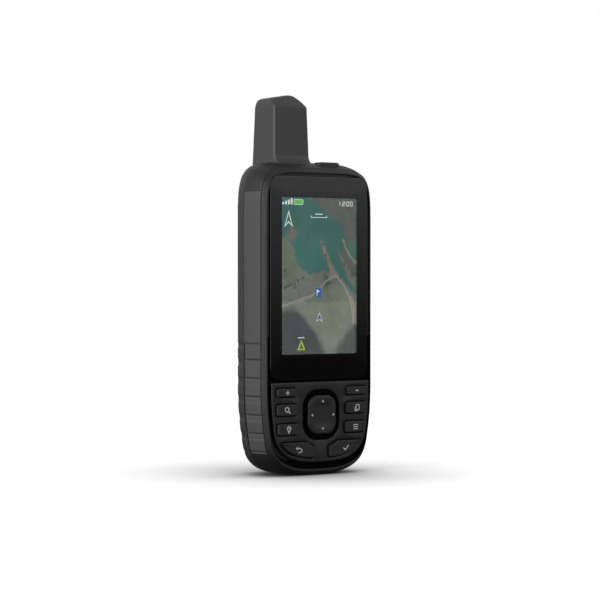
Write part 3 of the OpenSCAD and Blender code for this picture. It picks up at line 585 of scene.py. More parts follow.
def antenna_ring(z, d, steps=16, run_out=0.0):
    """Ring of the stub at height z, moved in by d: arcs of radius 2.8 behind and 1.3 in front."""
    up = max(0.0, z - ANTENNA_SEAT) / (TOP - ANTENNA_SEAT)
    left, right, ahead, behind = (float(np.interp(z, CROWN[:, 0], CROWN[:, k])) for k in (1, 2, 3, 4))
    x0, x1 = ANTENNA_X - ANTENNA_W / 2 + 0.2 * up + d + left, ANTENNA_X + ANTENNA_W / 2 - 1.3 * up - d - right
    y0, y1 = ANTENNA_FRONT + 0.5 * up + d + ahead, ANTENNA_FRONT + ANTENNA_DEPTH - 2.2 * up - d - behind
    y0 -= run_out
    rf, rb, mid = max(0.5, 1.3 - d / 2 - ahead / 8), max(0.7, 2.8 - d - behind * 0.4), (x0 + x1) / 2
    a = np.radians(np.linspace(0, 90, steps))

    def arc(cx, cy, r, start):
        return np.stack([cx + r * np.cos(np.radians(start) - a), cy + r * np.sin(np.radians(start) - a)], 1)

    s = np.linspace(0.5, -0.5, 14)[1:-1]
    bow = np.stack([mid + s * (x1 - x0 - 2 * rf), y0 - 0.5 * np.cos(np.pi * s)], 1)
    p = np.vstack([arc(x0 + rb, y1 - rb, rb, 180), arc(x1 - rb, y1 - rb, rb, 90),
                   arc(x1 - rf, y0 + rf, rf, 0), bow, arc(x0 + rf, y0 + rf, rf, 270)])
    return np.stack([p[:, 0], p[:, 1], np.full(len(p), z)], 1)


levels = np.r_[np.linspace(131.0, 137, 16), np.linspace(138.5, 157.2, 12), np.linspace(157.4, 163.0, 34)]
stub_rings = [antenna_ring(z, 0.0, run_out=flare(z)) for z in levels]
stub_rings = [antenna_ring(ANTENNA_SEAT + 0.1, 0.0, run_out=flare(131.0))] + stub_rings
inner = [antenna_ring(z, 1.5) for z in np.linspace(156.0, ANTENNA_SEAT + 2, 8)]
stub = face_outwards(new_piece("antenna_shell", *ring_stack(stub_rings), body="body",
                               replaces=["antenna_housing"], slot="antenna_plastic"))
hollow = face_outwards(new_piece("cutter", *ring_stack(inner), body=None))
carve(stub, [hollow])
smooth_by_angle(stub, 24)
foot = [antenna_ring(max(z, ANTENNA_SEAT), -0.04, run_out=flare(max(z, 131.0)))
        for z in np.r_[ANTENNA_SEAT, np.linspace(131.0, 140, 12)]]
for shell in (front, rear):
    pocket = face_outwards(new_piece("cutter", *ring_stack(foot), body=None))
    carve(shell, [pocket])
    smooth_by_angle(shell)
print("antenna points:", len(stub.data.vertices))

# %% [markdown]
# ## Glass and display
# The window is one plate of glass with a black border printed on its back. The border is
# opaque and glossy, so it is its own piece with a rectangular hole, and the clear pane fills
# the hole. The picture lies just behind the pane and gives its own light.

# %% Window
FACE_Y, GLASS_T = -15.1, 1.2
PICTURE_W, PICTURE_H = 40.0, 66.7


def plate_with_hole(name, outer, hole, y0, y1, soft, body, **kw):
    """A flat plate between two depths with a round-edged outer rim and a hole, as one closed ring.
    Both outlines have the same number of points; soft is the radius of the front outer edge."""
    outer, hole = np.asarray(outer, float), np.asarray(hole, float)
    centre = outer.mean(0)
    rings = []
    for t in np.radians((0, 22.5, 45, 67.5, 90)):
        pull = soft * (1 - np.cos(t))
        rings.append((outer - np.sign(outer - centre) * pull, y0 + soft * (1 - np.sin(t))))
    rings = rings[::-1]
    stack = [(hole, y0)] + rings[::-1][::-1] + [(outer, y1), (hole, y1)]
    pts = [np.stack([p[:, 0], np.full(len(p), y), p[:, 1]], 1) for p, y in stack]
    rows, columns = len(pts), len(outer)
    faces = grid_faces(rows, columns, wrap_rows=True, wrap_columns=True)
    made = new_piece(name, np.vstack(pts), faces, body, **kw)
    return face_outwards(made)


def matched_rectangle(w, h, x, z, like):
    """A sharp rectangle's outline walked with as many points, in the same directions, as like."""
    like = np.asarray(like, float)
    d = like - like.mean(0)
    scale = np.maximum(np.abs(d[:, 0]) / (w / 2), np.abs(d[:, 1]) / (h / 2))
    return d / scale[:, None] + (x, z)


rim = glass_shape(0.0, 24)
border = plate_with_hole("window_border", rim, matched_rectangle(PICTURE_W, PICTURE_H, 0, SCREEN_Z, rim),
                         FACE_Y, FACE_Y + GLASS_T, 0.25, "body", replaces=["window_glass"], slot="window")
smooth_by_angle(border, 40)


def plate(name, shape, y0, y1, body, **kw):
    """A closed flat plate with a front-view outline between two depths."""
    shape = np.asarray(shape, float)
    rings = [np.stack([shape[:, 0], np.full(len(shape), y), shape[:, 1]], 1) for y in (y0, y1)]
    made = face_outwards(new_piece(name, *ring_stack(rings), body=body, **kw))
    return smooth_by_angle(made, 40)


pane = plate("window_pane", soft_rectangle(PICTURE_W - 0.02, PICTURE_H - 0.02, 0.05, 0, SCREEN_Z),
             FACE_Y, FACE_Y + GLASS_T, "body", slot="window")
print("window pieces:", border.name, pane.name)

# %% [markdown]
# The picture is a map of a lake seen from above: water, a long spit of land, a field, woods
# and paths. Every region is a distance: to the edge of a shape drawn through a few points,
# or to a line. A smooth step on that distance gives a soft shore. The colours go into an
# attribute on a fine grid, and its fourth number says how grainy the ground is there.

# %% Map picture
MAP_X, MAP_Z = PICTURE_W / 2, PICTURE_H / 2


def to_shape(u, v, corners):
    """Signed distance from points to a closed shape, below zero inside it."""
    c = np.asarray(corners, float)
    best, inside = np.full(u.shape, 1e9), np.zeros(u.shape, bool)
    for (x0, y0), (x1, y1) in zip(c, np.roll(c, -1, axis=0)):
        dx, dy = x1 - x0, y1 - y0
        t = np.clip(((u - x0) * dx + (v - y0) * dy) / (dx * dx + dy * dy), 0, 1)
        best = np.minimum(best, np.hypot(u - x0 - t * dx, v - y0 - t * dy))
        with np.errstate(divide="ignore", invalid="ignore"):
            inside ^= ((y0 > v) != (y1 > v)) & (u < (v - y0) * dx / (y1 - y0) + x0)
    return np.where(inside, -best, best)


def to_line(u, v, stops):
    """Distance from points to an open line through stops."""
    best = np.full(u.shape, 1e9)
    for (x0, y0), (x1, y1) in zip(stops[:-1], stops[1:]):
        dx, dy = x1 - x0, y1 - y0
        t = np.clip(((u - x0) * dx + (v - y0) * dy) / (dx * dx + dy * dy), 0, 1)
        best = np.minimum(best, np.hypot(u - x0 - t * dx, v - y0 - t * dy))
    return best


def cloud(u, v, size, seed):
    """Smooth value noise between -1 and 1 with cells of the given size, the same every run."""
    a, b = np.floor(u / size), np.floor(v / size)
    fu, fv = u / size - a, v / size - b
    fu, fv = fu * fu * (3 - 2 * fu), fv * fv * (3 - 2 * fv)

    def lattice(i, j):
        w = np.sin(i * 127.1 + j * 311.7 + seed * 74.7) * 43758.5453
        return 2 * (w - np.floor(w)) - 1

    top = lattice(a, b) * (1 - fu) + lattice(a + 1, b) * fu
    low = lattice(a, b + 1) * (1 - fu) + lattice(a + 1, b + 1) * fu
    return top * (1 - fv) + low * fv


def linear(rgb):
    """A display colour 0 to 255 as a linear colour."""
    c = np.asarray(rgb, float) / 255
    return np.where(c <= 0.04045, c / 12.92, ((c + 0.055) / 1.055) ** 2.4)


def lay(colours, rgb, grain, mask):
    """Paints a colour and its grain over the map where the mask is 1."""
    new = np.r_[linear(rgb), grain]
    return colours * (1 - mask[..., None]) + new * mask[..., None]


def shore(d, soft=0.25):
    """1 inside a shape and 0 outside, over a soft edge."""
    return 1 / (1 + np.exp(np.clip(d / soft, -40, 40)))


mu, mv = np.meshgrid(np.linspace(-MAP_X, MAP_X, 181), np.linspace(-MAP_Z, MAP_Z, 301), indexing="ij")
wobble_u = mu + 0.5 * cloud(mu, mv, 2.2, 1) + 0.22 * cloud(mu, mv, 0.8, 2)
wobble_v = mv + 0.5 * cloud(mu, mv, 2.2, 3) + 0.22 * cloud(mu, mv, 0.8, 4)
LAKE = [(-24, 40), (-5.5, 40), (-4.5, 33), (-1, 30.5), (4, 27), (9, 24), (12, 21), (14, 17), (13.5, 14.5),
        (12.5, 12), (11, 9), (11.5, 6), (14.5, 2), (17.5, -3), (20, -5.5), (23, -10), (17.5, -6.5),
        (13, -0.5), (9.5, 0), (6.2, 1), (3, 2.2), (0, 1), (-5, 1.2), (-9, 3), (-11.5, 6), (-13, 11),
        (-15, 14), (-17, 16), (-24, 16.5)]
SPIT = [(1.2, 14.8), (2.4, 15.2), (3.4, 13), (5, 9.5), (6.5, 6.5), (8.6, 3), (11, 0), (9, -1.2), (6.3, 0),
        (5.4, 3),
        (4.2, 7), (2.2, 11)]
ISLAND = [(-16.5, 19.5), (-13, 21.5), (-11.2, 19), (-13, 15.5), (-15.5, 15), (-17, 17)]
FIELD = [(3, -6.5), (12, -5.2), (16.5, -9), (18.4, -16), (16, -24), (10, -30.5), (3, -28),
         (-3.5, -21), (-9, -15), (-1, -11)]
WOODS = [(-24, -15), (-14, -14), (-8.5, -17), (-5, -20.5), (-1, -24.5), (2, -31), (6, -40), (-24, -40)]
EAST_BANK = [(-8, 40), (24, 40), (24, 0), (8, -2), (4, 20)]
WEST_MEADOW = [(-24, 15), (-10, 14), (-8, 4), (-14, -2), (-24, -2)]
SCRUB = [(16, -24), (24, -16), (24, -40), (8, -40), (10, -31)]
COPSE = [(3.2, 1.6), (5, -1), (7.5, -3.4), (3.4, -5.4), (2.6, -2)]
SHORE_STRIP = [(11, 9), (13, 8.4), (19, -2), (24, -8), (24, -12), (17, -3)]
POND = [(14.5, 15), (18, 15.5), (24, 14), (24, 6), (19, 7), (15, 12)]
# colour, grain, softness of the edge, outline; each is laid over the ones before it
REGIONS = [
    ((94, 100, 96), 0.9, 0.25, EAST_BANK), ((104, 116, 98), 0.45, 1.2, WEST_MEADOW),
    ((67, 108, 103), 0.06, 0.2, LAKE), ((126, 124, 113), 0.6, 0.2, SPIT),
    ((112, 114, 104), 0.7, 0.5, ISLAND), ((116, 124, 108), 0.45, 0.8, FIELD),
    ((56, 62, 62), 0.95, 0.5, WOODS), ((68, 76, 72), 0.9, 0.6, SCRUB),
    ((62, 86, 82), 0.5, 0.5, COPSE), ((112, 118, 104), 0.4, 0.3, SHORE_STRIP),
    ((78, 110, 98), 0.1, 0.3, POND)]
TREES = [(-18, 2), (-17.6, -5), (-16.4, -4.4), (-15, -3.6), (-12.6, -5), (-12.9, -3.3),
         (-10.6, -1.8), (-8.4, -0.6), (2.2, 13.8), (4, 9), (14, 5)]
BEACH = [(13.6, 15.5), (14.5, 12), (17, 9), (24, 2)]
map_rgba = np.zeros(mu.shape + (4,))
map_rgba[...] = np.r_[linear((113, 120, 111)), 0.55]
for rgb, grain, soft, corners in REGIONS:
    map_rgba = lay(map_rgba, rgb, grain, shore(to_shape(wobble_u, wobble_v, corners), soft))
beach = to_line(wobble_u, wobble_v, BEACH) - 0.35
map_rgba = lay(map_rgba, (148, 142, 130), 0.4, shore(beach, 0.12))
for x, z in TREES:
    crown = np.hypot(wobble_u - x, wobble_v - z) - 0.5
    map_rgba = lay(map_rgba, (62, 72, 66), 0.5, shore(crown, 0.15))
PATHS = [
    ([(-24, -14.2), (-12, -10.8), (-3, -8), (1, -5.2), (4, -2.2), (9.5, 0.2), (13.5, -4), (17, -9.5),
      (19, -18)], 0.33, (158, 156, 146)),
    ([(-11, -11.6), (-6, -10), (-3, -8.4)], 0.28, (150, 148, 138)),
    ([(-9, -12), (-5, -17), (-1, -22), (3, -30), (4, -40)], 0.22, (118, 116, 108)),
    ([(17.6, -9.5), (19.5, -13), (19.2, -20)], 0.9, (150, 142, 136))]
for stops, width, rgb in PATHS:
    off = to_line(mu + 0.2 * cloud(mu, mv, 3, 7), mv, stops) - width
    map_rgba = lay(map_rgba, rgb, 0.2, 0.85 * shore(off, 0.1))
shade = 1 + 0.10 * cloud(mu, mv, 7, 5) + 0.07 * cloud(mu, mv, 2.6, 6)
map_rgba[..., :3] *= 0.86 * shade[..., None]
# the pane adds a reflection that grows towards its top, so the picture is drawn that much darker
glare = 0.006 + 0.034 * (mv + MAP_Z) / (2 * MAP_Z)
map_rgba[..., :3] = np.maximum(map_rgba[..., :3] - glare[..., None], 0.004)

rows, columns = mu.shape
picture_points = np.stack([mu, np.full(mu.shape, -13.74), mv + SCREEN_Z], -1).reshape(-1, 3)
picture = new_piece("map_picture", picture_points, grid_faces(rows, columns)[:, ::-1], "body", slot="display")
tint = picture.data.color_attributes.new("map_colour", "FLOAT_COLOR", "POINT")
tint.data.foreach_set("color", map_rgba.reshape(-1, 4).astype(np.float32).ravel())
print("map points:", rows * columns)

# %% [markdown]
# ## Marks on keys and map
# Printed marks are very thin plates. A stroke is a strip of even width along a few points,
# made by stepping to both sides of the line; a filled mark is a fan round its centre. The
# marks here are plain signs of the kind found on any remote control or map.

# %% Mark helpers
def stroke(points, width, closed=False, round_steps=0):
    """Two edges of a strip of even width along points: each point plus and minus the mitred normal."""
    p = np.asarray(points, float)
    ahead = np.roll(p, -1, 0) - p if closed else np.vstack([p[1:] - p[:-1], p[-1:] - p[-2:-1]])
    back = np.roll(ahead, 1, 0) if closed else np.vstack([ahead[:1], p[1:] - p[:-1]])
    ahead, back = (v / np.linalg.norm(v, axis=1, keepdims=True) for v in (ahead, back))
    mitre = np.stack([-(ahead[:, 1] + back[:, 1]), ahead[:, 0] + back[:, 0]], 1)
    mitre /= np.maximum(np.linalg.norm(mitre, axis=1, keepdims=True), 1e-9)
    grow = 1 / np.maximum((mitre * np.stack([-ahead[:, 1], ahead[:, 0]], 1)).sum(1, keepdims=True), 0.35)
    return p + mitre * grow * width / 2, p - mitre * grow * width / 2, closed


def circle(x, z, r, sides=28, start=0.0, sweep=360.0):
    """Points on a circle or an arc about (x, z)."""
    a = np.radians(start + np.linspace(0, sweep, sides, endpoint=sweep < 360))
    return np.stack([x + r * np.cos(a), z + r * np.sin(a)], 1)


def marks(name, strips, fills, y, body, thick=0.03, **kw):
    """One piece of thin plates in the plane at depth y: strips from stroke() and filled outlines."""
    points, faces = [], []
    for left, right, closed in strips:
        base, n = sum(map(len, points)), len(left)
        ring = np.stack([left, right], 1)
        block = np.stack([np.concatenate([ring, ring[:, ::-1]], 1)[..., 0],
                          np.broadcast_to([y, y, y + thick, y + thick], (n, 4)),
                          np.concatenate([ring, ring[:, ::-1]], 1)[..., 1]], -1)
        points.append(block.reshape(-1, 3))
        faces += [tuple(f) for f in grid_faces(n, 4, wrap_rows=closed, wrap_columns=True, start=base)]
        if not closed:
            faces += [tuple(base + k for k in (3, 2, 1, 0)), tuple(base + 4 * (n - 1) + k for k in range(4))]
    for fill in fills:
        base = sum(map(len, points))
        shape = np.asarray(fill, float)
        rings = [np.stack([shape[:, 0], np.full(len(shape), d), shape[:, 1]], 1) for d in (y, y + thick)]
        p, f = ring_stack(rings)
        points.append(p)
        faces += [tuple(int(k) + base for k in face) for face in f]
    made = new_piece(name, np.vstack(points), faces, body, smooth=False, **kw)
    return face_outwards(made)


print("mark helpers ready")

# %% [markdown]
# ## Keypad
# The keypad plate stands a millimetre proud of the rim, with one opening for each key. Keys
# are pillows: the outline pulled in along a quarter circle as it nears the top gives a soft
# edge of even radius. The end keys follow the round foot of the plate on one side and the ring
# of the rocker on the other, so their outline is built from those two curves, and a moving
# average along the outline rounds its corners.

# %% Key shapes
DECK_Y, RECESS_Y, KEY_TOP = -16.1, -14.3, -17.3
ROCKER_Z = 25.8
KEYS = {"zoom": (18.6, 35.7, 10.2, 3.5), "upper": (18.35, 28.3, 10.6, 4.8), "lower": (17.9, 20.1, 10.6, 4.8)}


def even(points, count):
    """A closed outline walked in count even steps."""
    p = np.vstack([points, points[:1]])
    step = np.r_[0, np.cumsum(np.linalg.norm(np.diff(p, axis=0), axis=1))]
    at = np.linspace(0, step[-1], count, endpoint=False)
    return np.stack([np.interp(at, step, p[:, k]) for k in (0, 1)], 1)


def softened(points, soft, count=160):
    """Rounds the corners of a closed outline: the mean of the points within soft either way."""
    p = even(np.asarray(points, float), count)
    length = np.linalg.norm(np.diff(np.vstack([p, p[:1]]), axis=0), axis=1).sum()
    reach = max(1, int(round(soft / (length / count))))
    return sum(np.roll(p, k, 0) for k in range(-reach, reach + 1)) / (2 * reach + 1)


def pulled_in(points, d):
    """The outline moved inwards by d along its normals; it runs anticlockwise seen from the front."""
    p = np.asarray(points, float)
    along = np.roll(p, -1, 0) - np.roll(p, 1, 0)
    along /= np.linalg.norm(along, axis=1, keepdims=True)
    return p + np.stack([-along[:, 1], along[:, 0]], 1) * d


def end_key_shape():
    """Outline of the right end key: foot curve, flat top, and an arc of radius 14 about the rocker."""
    foot = outline(25.0, 7.6, 134.0, 4.0, 2400)
    foot = foot[(foot[:, 0] >= 3.8) & (foot[:, 1] <= 14.5) & (foot[:, 0] > 0)]
    foot = foot[np.argsort(foot[:, 0] + foot[:, 1])]
    reach = math.sqrt(14.0 ** 2 - (ROCKER_Z - 14.5) ** 2)
    a = np.linspace(math.atan2(14.5 - ROCKER_Z, reach), -math.acos(3.8 / 14.0), 24)
    arc = np.stack([14 * np.cos(a), ROCKER_Z + 14 * np.sin(a)], 1)
    return softened(np.vstack([foot, arc]), 0.45, 220)


END_KEY = end_key_shape()


def ROCKER(grow):
    """Outline of the rocker moved out by grow: a soft rectangle 14.8 x 16.8 with corners of radius 5."""
    shape = soft_rectangle(14.8 + 2 * grow, 16.8 + 2 * grow, 5 + grow, 0, ROCKER_Z, 16)
    return softened(shape, 0.3, 240)


def key_shape(kind):
    """Outline of a key on the right-hand side."""
    if kind == "end":
        return END_KEY
    x, z, w, h = KEYS[kind]
    return even(soft_rectangle(w, h, 0.75, x, z, 12), 160)


def mirrored(points):
    """The outline mirrored left to right, still anticlockwise."""
    return (np.asarray(points) * (-1, 1))[::-1]


def front_ring(points, y):
    """An outline (x, z) placed at depth y, a number or one depth for each point."""
    p = np.asarray(points, float)
    return np.stack([p[:, 0], np.full(len(p), 1.0) * y, p[:, 1]], 1)


def pillow(name, shape, base_y, top_y, soft, body, dish=0.0, **kw):
    """A key: straight walls, an edge rounded to radius soft, and a top that may dip by dish."""
    rings = [front_ring(shape, base_y), front_ring(shape, top_y + soft)]
    for t in np.radians(np.linspace(10, 90, 7)):
        rings.append(front_ring(pulled_in(shape, soft * (1 - math.cos(t))), top_y + soft * (1 - math.sin(t))))
    centre = np.asarray(shape).mean(0)
    last = pulled_in(shape, soft)
    for k in np.linspace(0.1, 0.97, 8):
        rings.append(front_ring(last + (centre - last) * k, top_y + dish * (1 - (1 - k) ** 2)))
    return smooth_by_angle(face_outwards(new_piece(name, *ring_stack(rings), body=body, **kw)), 50)


print("end key reaches x", END_KEY[:, 0].max().round(1))

# %% Deck and keys
def flared(shape, y_top, y_bottom, flare=0.28):
    """A cutter for an opening whose front edge is rounded off by flare."""
    rings = [front_ring(pulled_in(shape, -flare - 0.02), y_top - 1.2),
             front_ring(pulled_in(shape, -flare), y_top)]
    for t in np.radians((30, 60, 90)):
        ring = pulled_in(shape, -flare * (1 - math.sin(t)))
        rings.append(front_ring(ring, y_top + flare * (1 - math.cos(t))))
    rings.append(front_ring(shape, y_bottom))
    return face_outwards(new_piece("cutter", *ring_stack(rings), body=None))


DECK_HW, DECK_Z0, DECK_TOP, DECK_EDGE = 26.0, 5.6, 39.9, 0.45
deck_line = outline(DECK_HW, DECK_Z0, 134.0, 6.0, 1200)
deck_line = deck_line[deck_line[:, 1] <= DECK_TOP]
right_half = deck_line[deck_line[:, 0] >= 0]
right_half = right_half[np.argsort(right_half[:, 1] * 3 + right_half[:, 0])]
left_half = (right_half * (-1, 1))[::-1]
top_corners = [(DECK_HW, DECK_TOP), (-DECK_HW, DECK_TOP)]
deck_line = softened(np.vstack([right_half, top_corners, left_half]), 0.8, 480)
deck_rings = [front_ring(deck_line, RECESS_Y), front_ring(deck_line, DECK_Y + DECK_EDGE)]
for t in np.radians(np.linspace(12, 90, 6)):
    ring = pulled_in(deck_line, DECK_EDGE * (1 - math.cos(t)))
    deck_rings.append(front_ring(ring, DECK_Y + DECK_EDGE * (1 - math.sin(t))))
deck = face_outwards(new_piece("keypad_plate", *ring_stack(deck_rings), body="body",
                               replaces=["keypad_deck"], slot="keypad_plastic"))
holes = [flared(ROCKER(2.3), DECK_Y, DECK_Y + 0.7, 0.3), flared(ROCKER(0.6), DECK_Y + 0.7, -13, 0.12)]
for kind in ("zoom", "upper", "lower", "end"):
    grown_shape = pulled_in(key_shape(kind), -0.3)
    holes += [flared(grown_shape, DECK_Y, -13), flared(mirrored(grown_shape), DECK_Y, -13)]
carve(deck, holes)
smooth_by_angle(deck, 32)

KEY_NAMES = {("zoom", -1): "zoom_in", ("zoom", 1): "zoom_out", ("upper", -1): "find", ("upper", 1): "page",
             ("lower", -1): "mark", ("lower", 1): "menu", ("end", -1): "quit", ("end", 1): "enter"}
keys = {}
for (kind, side), word in KEY_NAMES.items():
    shape = key_shape(kind) if side > 0 else mirrored(key_shape(kind))
    keys[word] = pillow(f"key_{word}", shape, -14.2, KEY_TOP, 0.42, word,
                        replaces=[f"{word}_key"], slot="key_rubber")

shape = ROCKER(0)
rocker_rings = [front_ring(shape, -13.2), front_ring(shape, -16.3)]
for t in np.radians(np.linspace(10, 90, 8)):
    rocker_rings.append(front_ring(pulled_in(shape, 0.9 * (1 - math.cos(t))), -16.3 - 1.05 * math.sin(t)))
middle = np.array([0.0, ROCKER_Z])
last = pulled_in(shape, 0.9)
for k in np.linspace(0.05, 0.96, 16):
    rocker_rings.append(front_ring(last + (middle - last) * k, -17.35 + 0.34 * plateau(k, 0.34, 2.0, 0.06)))
rocker = smooth_by_angle(face_outwards(new_piece("rocker_cap", *ring_stack(rocker_rings), body="rocker",
                                                 replaces=["rocker_pad"], slot="key_rubber")), 50)
print("keys:", len(keys), "deck triangles:", sum(len(p.vertices) - 2 for p in deck.data.polygons))

# %% Key marks
MARK_Y = KEY_TOP - 0.025


def key_mark(word, strips, fills=()):
    """The printed mark of one key, riding with it."""
    return marks(f"mark_{word}", strips, fills, MARK_Y, word, slot="key_rubber")


key_mark("zoom_in", [stroke([(-19.5, 35.7), (-17.7, 35.7)], 0.45),
                     stroke([(-18.6, 34.8), (-18.6, 36.6)], 0.45)])
key_mark("zoom_out", [stroke([(17.7, 35.7), (19.5, 35.7)], 0.45)])
key_mark("find", [stroke(circle(-18.9, 28.6, 0.95), 0.4, True), stroke([(-18.2, 27.9), (-17.2, 26.9)], 0.5)])
key_mark("page", [stroke(soft_rectangle(1.7, 2.1, 0.2, 18.9, 28.5), 0.36, True),
                  stroke([(17.5, 28.6), (17.5, 27.0), (19.0, 27.0)], 0.36)])
key_mark("mark", [stroke(circle(-17.9, 20.6, 0.85, 24, -35, 250), 0.4),
                  stroke([(-18.65, 20.1), (-17.9, 18.7), (-17.15, 20.1)], 0.42)],
         [circle(-17.9, 20.6, 0.3, 14)])
key_mark("menu", [stroke([(16.6, 20.1 + d), (19.2, 20.1 + d)], 0.38) for d in (-0.9, 0.0, 0.9)])
key_mark("quit", [stroke([(-13.6, 12.0), (-11.9, 12.0), (-11.3, 11.6), (-11.1, 11.2), (-11.3, 10.7),
                          (-11.9, 10.3), (-13.0, 10.3)], 0.38)],
         [[(-14.3, 12.0), (-13.3, 11.2), (-13.3, 12.8)]])
key_mark("enter", [stroke([(11.1, 11.3), (12.1, 10.3), (14.0, 12.3)], 0.45)])
ARROW = np.array([(0.0, 0.62), (-0.62, -0.42), (0.62, -0.42)])
turned = [(ARROW @ np.array([[c, s], [-s, c]])) + (px, pz + ROCKER_Z)
          for c, s, px, pz in ((1, 0, 0, 5.9), (-1, 0, 0, -5.9), (0, 1, -5.7, 0), (0, -1, 5.7, 0))]
marks("mark_rocker", [], turned, -17.385, "rocker", thick=0.05, slot="key_rubber")

# %% [markdown]
# The map carries the plain signs any navigator shows: signal bars, a battery, the time, a north
# arrow, a scale line, a waypoint, the position and a camp. They are thin plates between the
# picture and the pane, and each gives its own light in one colour.

# %% Map marks
SIGN_Y, SIGN_STEP = -13.80, 0.02
SIGNS = {}


def sign(word, rgb, strips=(), fills=(), level=0):
    """One sign on the map, its points in millimetres from the middle of the picture."""
    def raised(p):
        return np.asarray(p, float) + (0.0, SCREEN_Z)
    strips = [(raised(left), raised(right), closed) for left, right, closed in strips]
    y = SIGN_Y - level * SIGN_STEP
    made = marks(f"sign_{word}", strips, [raised(f) for f in fills], y, "body", thick=0.01, slot="display")
    SIGNS[made.name] = (made, rgb)


def numeral(figure, x, z, w=1.1, h=1.8):
    """Strokes of a plain 0, 1 or 2 with its lower left corner at (x, z)."""
    shapes = {"0": ([(0, 0), (w, 0), (w, h), (0, h)], True), "1": ([(w / 2, 0), (w / 2, h)], False),
              "2": ([(0, h), (w, h), (w, h / 2), (0, h / 2), (0, 0), (w, 0)], False)}
    points, closed = shapes[figure]
    return stroke(np.asarray(points, float) + (x, z), 0.3, closed)


PALE, LEAF, BLUE, NAVY, LIME, DARK = ((222, 230, 226), (92, 190, 70), (40, 92, 170), (26, 62, 118),
                                      (150, 190, 40), (34, 44, 40))
sign("signal", PALE, fills=[soft_rectangle(1.0, 0.9 + 0.55 * k, 0.05, -18.8 + 1.5 * k, 30.75 + 0.275 * k, 2)
                            for k in range(4)])
sign("battery", LEAF, fills=[soft_rectangle(4.4, 2.0, 0.3, -10.7, 31.4, 3),
                             soft_rectangle(0.5, 0.9, 0.05, -8.2, 31.4, 2)])
sign("battery_edge", PALE, [stroke(soft_rectangle(4.6, 2.2, 0.3, -10.7, 31.4, 3), 0.22, True)], level=1)
sign("clock", PALE, [numeral(f, x, 30.2) for f, x in zip("1200", (11.0, 12.9, 15.3, 17.2))],
     [circle(14.6, z, 0.17, 8) for z in (30.7, 31.5)])
sign("north", PALE, [stroke([(-15.9, 27.2), (-14.0, 21.2), (-15.9, 23.0), (-17.8, 21.2)], 0.5, True)])
sign("scale", PALE, [stroke([(-4.0, 25.8), (-4.0, 25.0), (4.4, 25.0), (4.4, 25.8)], 0.28),
                     stroke([(-1.8, 26.4), (2.2, 26.4)], 0.4)])
sign("waypoint", BLUE, fills=[soft_rectangle(3.2, 4.0, 0.4, -0.3, -7.2, 3)])
sign("waypoint_flag", PALE, [stroke([(-0.9, -8.6), (-0.9, -5.8)], 0.3)],
     [[(-0.8, -5.8), (0.7, -6.6), (-0.8, -7.4)]], level=1)
sign("position", NAVY, fills=[[(0.4, -15.9), (1.8, -19.3), (0.4, -18.4), (-1.0, -19.3)]])
sign("position_edge", PALE, [stroke([(0.4, -15.8), (1.9, -19.4), (0.4, -18.5), (-1.1, -19.4)], 0.22, True)],
     level=1)
sign("camp", LIME, fills=[[(-9.2, -27.2), (-7.0, -31.6), (-11.4, -31.6)]])
sign("camp_door", DARK, fills=[[(-9.2, -28.8), (-8.2, -31.0), (-10.2, -31.0)]], level=1)
sign("camp_label", PALE, [stroke([(-11.0, -26.3), (-7.5, -26.3)], 0.4)])
print("map signs:", len(SIGNS))

# %% [markdown]
# ## Power button and back hardware
# The power button is a soft stadium on the shoulder, with fine ribs for the finger. The parts
# on the back come from CAD with sharp edges. A copy of each is merged and given a small bevel,
# because real edges always have a radius, and a thin highlight on it is what makes a part
# look solid.

# %% Power button
def stadium(x, y, w, d, grow=0.0, steps=24):
    """Outline (x, y) of a slot shape of width w and depth d about (x, y)."""
    r, half = d / 2 + grow, (w - d) / 2
    a = np.radians(np.linspace(-90, 90, steps))
    right = np.stack([x + half + r * np.cos(a), y + r * np.sin(a)], 1)
    return np.vstack([right, 2 * np.array([x, y]) - right])


def level_ring(points, z):
    """An outline (x, y) at height z, a number or one height for each point."""
    p = np.asarray(points, float)
    return np.stack([p[:, 0], p[:, 1], np.full(len(p), 1.0) * z], 1)


POWER = even(stadium(10.0, -6.8, 12.0, 6.2), 220)
power_rings = [level_ring(POWER, 128.0), level_ring(POWER, 133.45)]
for t in np.radians(np.linspace(10, 90, 7)):
    power_rings.append(level_ring(pulled_in(POWER, 0.6 * (1 - math.cos(t))), 133.45 + 0.6 * math.sin(t)))
power_last = pulled_in(POWER, 0.6)
for k in np.linspace(0.03, 0.98, 26):
    p = power_last + (np.array([10.0, -6.8]) - power_last) * k
    rib = 0.16 * (0.5 + 0.5 * np.cos(2 * np.pi * (p[:, 0] - 10.0) / 1.3)) * min(1.0, k / 0.12)
    power_rings.append(level_ring(p, 134.05 + rib * (np.abs(p[:, 0] - 10.0) < 4.6)))
power = smooth_by_angle(face_outwards(new_piece("power_key", *ring_stack(power_rings), body="power",
                                                replaces=["power_button"], slot="key_rubber")), 50)
slot_cut = even(stadium(10.0, -6.8, 12.0, 6.2, 0.25), 120)
slot_block = ring_stack([level_ring(slot_cut, z) for z in (127.0, 140.0)])
carve(front, [face_outwards(new_piece("cutter", *slot_block, body=None))])
smooth_by_angle(front)
print("power key height:", round(max(v.co.z for v in power.data.vertices) / MM, 2))

# %% Back hardware
BODY_OF = {n: body for body, members in frame["record"]["behaviour"]["bodies"].items() for n in members}


